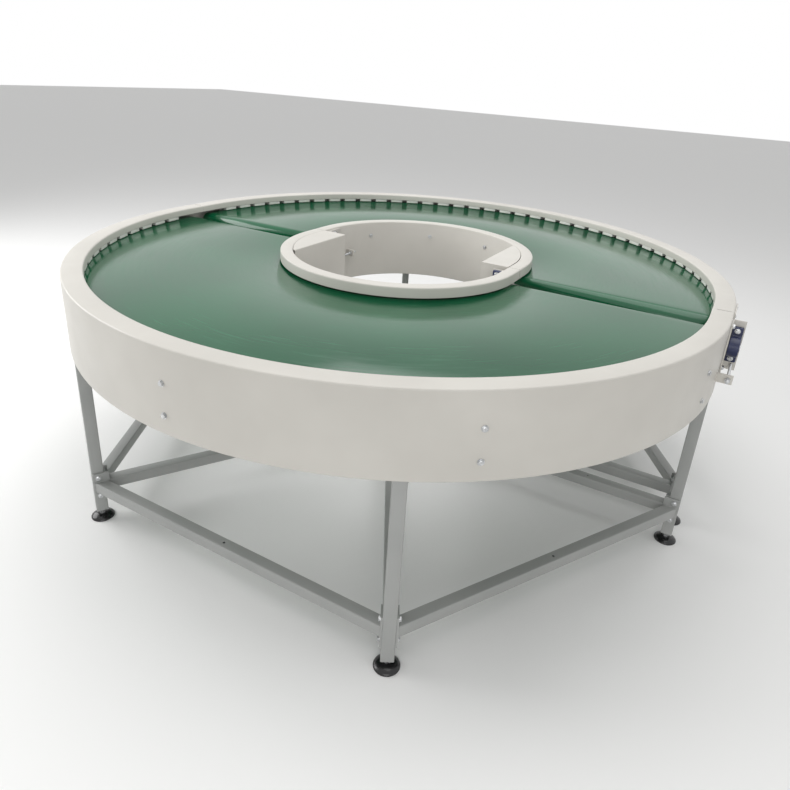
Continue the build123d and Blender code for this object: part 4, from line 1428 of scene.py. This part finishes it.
def build_cover(half):
    """Front and top as one folded section whose top reaches to x = -sqrt(R^2 - y^2), or -R past
    the arc's end, and the flat end wall at the seam."""
    t = COVER_T / 2
    reach = HUB_IN - COVER_JOINT
    first = -np.sqrt(reach ** 2 - (COVER_CHORD + 8 * MM) ** 2)
    y = np.concatenate([np.linspace(first, 0, 64), [STUB]])
    edge = np.sqrt(reach ** 2 - np.minimum(y, 0) ** 2)
    rows = []
    for y_row, x_edge in zip(y, edge):
        outline = fold([(-COVER_CHORD - t, HUB_LOW), (-COVER_CHORD - t, RIM_TOP - t),
                        (-x_edge, RIM_TOP - t)], COVER_T, 3 * MM, 4)
        rows.append(np.column_stack([outline[:, 0], np.full(len(outline), y_row), outline[:, 1]]))
    shell = skin(np.array(rows))
    end = block((-reach, STUB - COVER_T, HUB_LOW), (-COVER_CHORD - COVER_T, STUB, RIM_TOP - COVER_T),
                0.5 * MM)
    piece(f"hub_cover_{half}_sheet", in_half([shell, end], half), FRAME_ENAMEL, "table",
          [f"hub_cover_{half}"])


both_halves(build_cover)


# %% [markdown]
# Under the cover, a small right-angle gear motor drives the roller through a roller chain. Each
# sprocket tooth is a rounded point between two round seats. Each chain link is a pair of waisted
# plates, and the links alternate between an inner and an outer pair with a pin through both.

# %% Sprockets and chain
TEETH = 16
CHAIN_PITCH = 12.7 * MM
CENTRES = 118 * MM
PITCH_R = CHAIN_PITCH / (2 * np.sin(np.pi / TEETH))


def sprocket(bore, boss=5 * MM):
    """Toothed disc on the YZ plane at x = 0: its edge radius is p + h cos(n t), pressed flat at
    its outer end, and a boss with the bore stands on its outer side."""
    t = np.linspace(0, 2 * np.pi, TEETH * 10, endpoint=False)
    wave = np.cos(TEETH * t)
    edge = PITCH_R - 0.4 * MM + 3.8 * MM * np.clip(wave, -1, 0.8) / 0.9
    w = SPROCKET_W / 2
    top = bore + 9 * MM
    bevel = 1 * MM
    profile = [(-w, bore), (-w, edge - bevel), (bevel - w, edge), (w - bevel, edge),
               (w, edge - bevel), (w, top), (w + boss - bevel, top), (w + boss, top - bevel),
               (w + boss, bore)]
    rows = [np.column_stack([np.full(len(t), x), r * np.cos(t), r * np.sin(t)])
            for x, r in profile]
    return skin(np.array(rows), round_rows=True)


def link_plate(width, x, thick):
    """Waisted plate along Y between two pins a pitch apart, centred on the origin."""
    t = np.linspace(0, 2 * np.pi, 20, endpoint=False)
    y = (CHAIN_PITCH / 2 + width / 2) * np.cos(t)
    z = width / 2 * np.sin(t) * (1 - 0.18 * np.cos(t) ** 2 * 0) * (0.80 + 0.20 * abs(np.cos(t)))
    rows = [np.column_stack([np.full(20, x + d), y, z]) for d in (-thick / 2, thick / 2)]
    return skin(np.array(rows))


def chain_parts():
    """Links round the loop: the middle of each is at a distance s along two straights and two
    half circles, and it is turned to the loop's direction there."""
    length = 2 * CENTRES + 2 * np.pi * PITCH_R
    count = int(round(length / CHAIN_PITCH / 2)) * 2
    parts = []
    for k in range(count):
        s = (k + 0.5) * length / count
        y, z, angle = loop_place(s)
        place = shift(0, y, z) @ spin(np.degrees(angle), "X")
        gap = SPROCKET_W / 2 + (1.4 if k % 2 else 0.9) * MM
        for sign in (1, -1):
            parts.append(moved(link_plate(9.5 * MM, sign * gap, 0.9 * MM), place))
        pin = place @ shift(0, CHAIN_PITCH / 2, 0)
        reach = SPROCKET_W / 2 + 2.1 * MM
        parts.append(moved(lathe([(-reach, 1.6 * MM), (reach, 1.6 * MM)], 10), pin))
    return parts


def loop_place(s):
    """Point and heading of the chain's loop at a distance s: up one straight, over the upper
    sprocket, down the other straight and round the lower one. The upper centre is the origin."""
    arc = np.pi * PITCH_R
    if s < CENTRES:
        return -PITCH_R, s - CENTRES, np.pi / 2
    if s < CENTRES + arc:
        a = (s - CENTRES) / PITCH_R
        return -PITCH_R * np.cos(a), PITCH_R * np.sin(a), np.pi / 2 - a
    if s < 2 * CENTRES + arc:
        return PITCH_R, -(s - CENTRES - arc), -np.pi / 2
    a = (s - 2 * CENTRES - arc) / PITCH_R
    return PITCH_R * np.cos(a), -CENTRES - PITCH_R * np.sin(a), -np.pi / 2 - a


def build_chain_drive(half):
    """Driven sprocket, motor sprocket with its shaft, and the chain."""
    axis = on_axis(-1)
    upper = axis @ shift(SPROCKET_X, 0, 0)
    lower = axis @ shift(SPROCKET_X, 0, -CENTRES)
    piece(f"roller_sprocket_{half}_teeth", in_half([moved(sprocket(SHAFT_R), upper)], half),
          TURNED, f"drive_{half}", [f"roller_sprocket_{half}"])
    motor_x = SPROCKET_X - 14 * MM - 25 * MM
    shaft = lathe([(motor_x, SHAFT_R - 1 * MM), (motor_x + 1 * MM, SHAFT_R),
                   (SPROCKET_X + SPROCKET_W - 1 * MM, SHAFT_R),
                   (SPROCKET_X + SPROCKET_W, SHAFT_R - 1 * MM)])
    wheel = [moved(sprocket(SHAFT_R - 1 * MM), lower), moved(shaft, axis @ shift(0, 0, -CENTRES))]
    piece(f"motor_sprocket_{half}_teeth", in_half(wheel, half), TURNED, f"motor_shaft_{half}",
          [f"motor_sprocket_{half}"])
    links = [moved(part, upper) for part in chain_parts()]
    piece(f"drive_chain_{half}_links", in_half(links, half), ZINC, "table",
          [f"drive_chain_{half}"])


both_halves(build_chain_drive)


# %% [markdown]
# The gear motor is a cast box with rounded edges and a motor can along the hub wall. Cooling fins
# run along the can, a fan cowl closes its end, and a terminal box sits on top. The fins are a
# wave on the can's radius: it rises 24 times a turn. The motor stands on a bent shelf.

# %% Gear motor
MOTOR_X = SPROCKET_X - 14 * MM - 25 * MM
GEARBOX = (50 * MM, 84 * MM, 96 * MM)
MOTOR_R = 30 * MM
MOTOR_L = 120 * MM


def build_gear_motor(half):
    """Gearbox, finned can, cowl, terminal box and shelf."""
    width, long, high = GEARBOX
    outline = rounded([(-long / 2, -high / 2), (long / 2, -high / 2), (long / 2, high / 2),
                       (-long / 2, high / 2)], 10 * MM, 6)
    soft = 2 * MM
    scale = (outline - soft * np.sign(outline))
    rows = [np.column_stack([np.full(len(o), x), o]) for x, o in (
        (-width / 2, scale), (soft - width / 2, outline), (width / 2 - soft, outline),
        (width / 2, scale))]
    box = carved(skin(np.array(rows)), [lathe([(-width, SHAFT_R + 0.05 * MM),
                                               (width, SHAFT_R + 0.05 * MM)], 48)])
    t = np.linspace(0, 2 * np.pi, 192, endpoint=False)
    fin = MOTOR_R - 1.6 * MM + 1.6 * MM * np.tanh(3 * np.cos(24 * t))
    plain = np.full(len(t), MOTOR_R - 4 * MM)
    start, end = -long / 2, -long / 2 - MOTOR_L
    profile = [(start + 1 * MM, plain), (start - 4 * MM, plain), (start - 5 * MM, fin),
               (end + 26 * MM, fin), (end + 25 * MM, plain + 3 * MM), (end + 3 * MM, plain + 3 * MM),
               (end, plain + 1 * MM), (end - 6 * MM, plain), (end - 8 * MM, plain - 3 * MM)]
    can = skin(np.array([np.column_stack([r * np.cos(t), np.full(len(t), y), r * np.sin(t)])
                         for y, r in profile]))
    middle = start - MOTOR_L / 2
    terminal = block((-22 * MM, middle - 30 * MM, MOTOR_R - 13 * MM),
                     (22 * MM, middle + 30 * MM, MOTOR_R + 13 * MM), 4 * MM, 4)
    place = on_axis(-1) @ shift(MOTOR_X, 0, -CENTRES)
    body = [moved(part, place) for part in (box, can, terminal)]
    piece(f"gear_motor_{half}_body", in_half(body, half), MOTOR_GREY, "table",
          [f"gear_motor_{half}"])
    top = -CENTRES - high / 2
    t_shelf = 6 * MM
    near, far = MOTOR_X - width / 2, HUB_IN + 6 * MM
    corner = HUB_IN - 9 * MM
    section = fold([(near, top - t_shelf / 2), (corner, top - t_shelf / 2),
                    (corner, top - 46 * MM)], t_shelf, 5 * MM, 4)
    rows = [np.column_stack([section[:, 0], np.full(len(section), y), section[:, 1]])
            for y in (-long / 2, long / 2)]
    shelf = moved(skin(np.array(rows)), on_axis(-1))
    piece(f"motor_shelf_{half}", in_half([shelf], half), FRAME_ENAMEL, "table",
          [f"gear_motor_{half}"])


both_halves(build_gear_motor)


# %% [markdown]
# The nodes that keep their own solids, because their shape is already right, get their finish
# here.

# %% Finish for the nodes that stay
KEPT = {
    "slider_bed": SHEET_STEEL, "bed_ledge": FRAME_ENAMEL, "bed_beams": SHEET_STEEL,
    "tie_beams": FRAME_ENAMEL,
}
for name, finish in KEPT.items():
    for half in HALVES:
        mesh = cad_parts[f"{name}_{half}"].data
        mesh.materials.clear()
        mesh.materials.append(finish)
print("kept nodes", 2 * len(KEPT))


# %% [markdown]
# The floor is plain and pale and keeps the object's shadow. The world is white where the camera,
# a mirror or clear glass looks at it, and a dimmer grey where it lights the object, so the white
# background adds no light. A large soft lamp at the left stands for the bright window wall, and
# two weaker ones fill the top and the right.

# %% Floor, world and lamps
def floor_finish(tree, place):
    """Pale matt floor."""
    return {"Base Color": colour("#F4F4F3"), "Roughness": 0.9}


floor_mesh = bpy.data.meshes.new("floor")
FLOOR_HALF = 30.0
floor_mesh.from_pydata([(-FLOOR_HALF, -FLOOR_HALF, 0), (FLOOR_HALF, -FLOOR_HALF, 0),
                        (FLOOR_HALF, FLOOR_HALF, 0), (-FLOOR_HALF, FLOOR_HALF, 0)], [],
                       [(0, 1, 2, 3)])
floor = bpy.data.objects.new("floor", floor_mesh)
bpy.context.collection.objects.link(floor)
floor_mesh.materials.append(material("pale_floor", floor_finish))

world = bpy.data.worlds.new("studio")
bpy.context.scene.world = world
world.use_nodes = True
tree = world.node_tree
tree.nodes.clear()
path = node(tree, "ShaderNodeLightPath").outputs
seen = node(tree, "ShaderNodeMath", {0: path["Is Camera Ray"], 1: path["Is Transmission Ray"]},
            operation="MAXIMUM").outputs[0]
seen = node(tree, "ShaderNodeMath", {0: seen, 1: path["Is Glossy Ray"]},
            operation="MAXIMUM").outputs[0]
level = ramp(tree, seen, 0.55, 1.0, 0.0, 1.0)
sky = node(tree, "ShaderNodeBackground", {"Color": (1, 1, 1, 1), "Strength": level})
node(tree, "ShaderNodeOutputWorld", {"Surface": sky.outputs[0]})


def lamp(name, place, target, size, power):
    """Soft square lamp that faces a point."""
    data = bpy.data.lights.new(name, "AREA")
    data.shape = "RECTANGLE"
    data.size, data.size_y = size
    data.energy = power
    light = bpy.data.objects.new(name, data)
    bpy.context.collection.objects.link(light)
    light.location = place
    light.rotation_euler = (Vector(target) - Vector(place)).to_track_quat("-Z", "Y").to_euler()
    return light


lamp("window_left", (-4.2, -1.6, 2.6), (0, 0, 0.7), (3.5, 2.6), 120)
lamp("overhead", (0.0, 0.4, 4.2), (0, 0, 0.8), (4.0, 4.0), 90)
lamp("fill_front", (2.6, -4.4, 2.2), (0, 0, 0.6), (3.0, 2.0), 45)

# %% [markdown]
# The camera is a pinhole that was matched to the photograph with known points of the table: the
# rim, the hub, the seams, the bolts, the feet and the rails' holes. Its place is in metres, and
# its yaw, pitch and roll are in radians. The lens and the small shift follow from its focal length
# and centre, which are in pixels of the 790 pixel frame.

# %% Camera
FRAME_PX = 790
SENSOR = 36.0
CAMERA_PLACE = (1.2284, -2.3301, 1.5781)
YAW, PITCH, ROLL = 0.4844, 0.3945, 0.0677
FOCAL_PX, CENTRE_X, CENTRE_Y = 639.6, 403.8, 341.4
ahead = Vector((-np.sin(YAW) * np.cos(PITCH), np.cos(YAW) * np.cos(PITCH), -np.sin(PITCH)))
level_right = ahead.cross(Vector((0, 0, 1))).normalized()
level_up = level_right.cross(ahead)
right = np.cos(ROLL) * level_right + np.sin(ROLL) * level_up
up = -np.sin(ROLL) * level_right + np.cos(ROLL) * level_up
lens = bpy.data.cameras.new("camera")
lens.sensor_width = SENSOR
lens.lens = FOCAL_PX / FRAME_PX * SENSOR
lens.shift_x = (FRAME_PX / 2 - CENTRE_X) / FRAME_PX
lens.shift_y = (CENTRE_Y - FRAME_PX / 2) / FRAME_PX
lens.clip_end = 100
camera = bpy.data.objects.new("camera", lens)
bpy.context.collection.objects.link(camera)
turn = Matrix((right, up, -ahead)).transposed()
camera.matrix_world = Matrix.Translation(CAMERA_PLACE) @ turn.to_4x4()
bpy.context.scene.camera = camera
bpy.context.scene.view_settings.view_transform = "Standard"
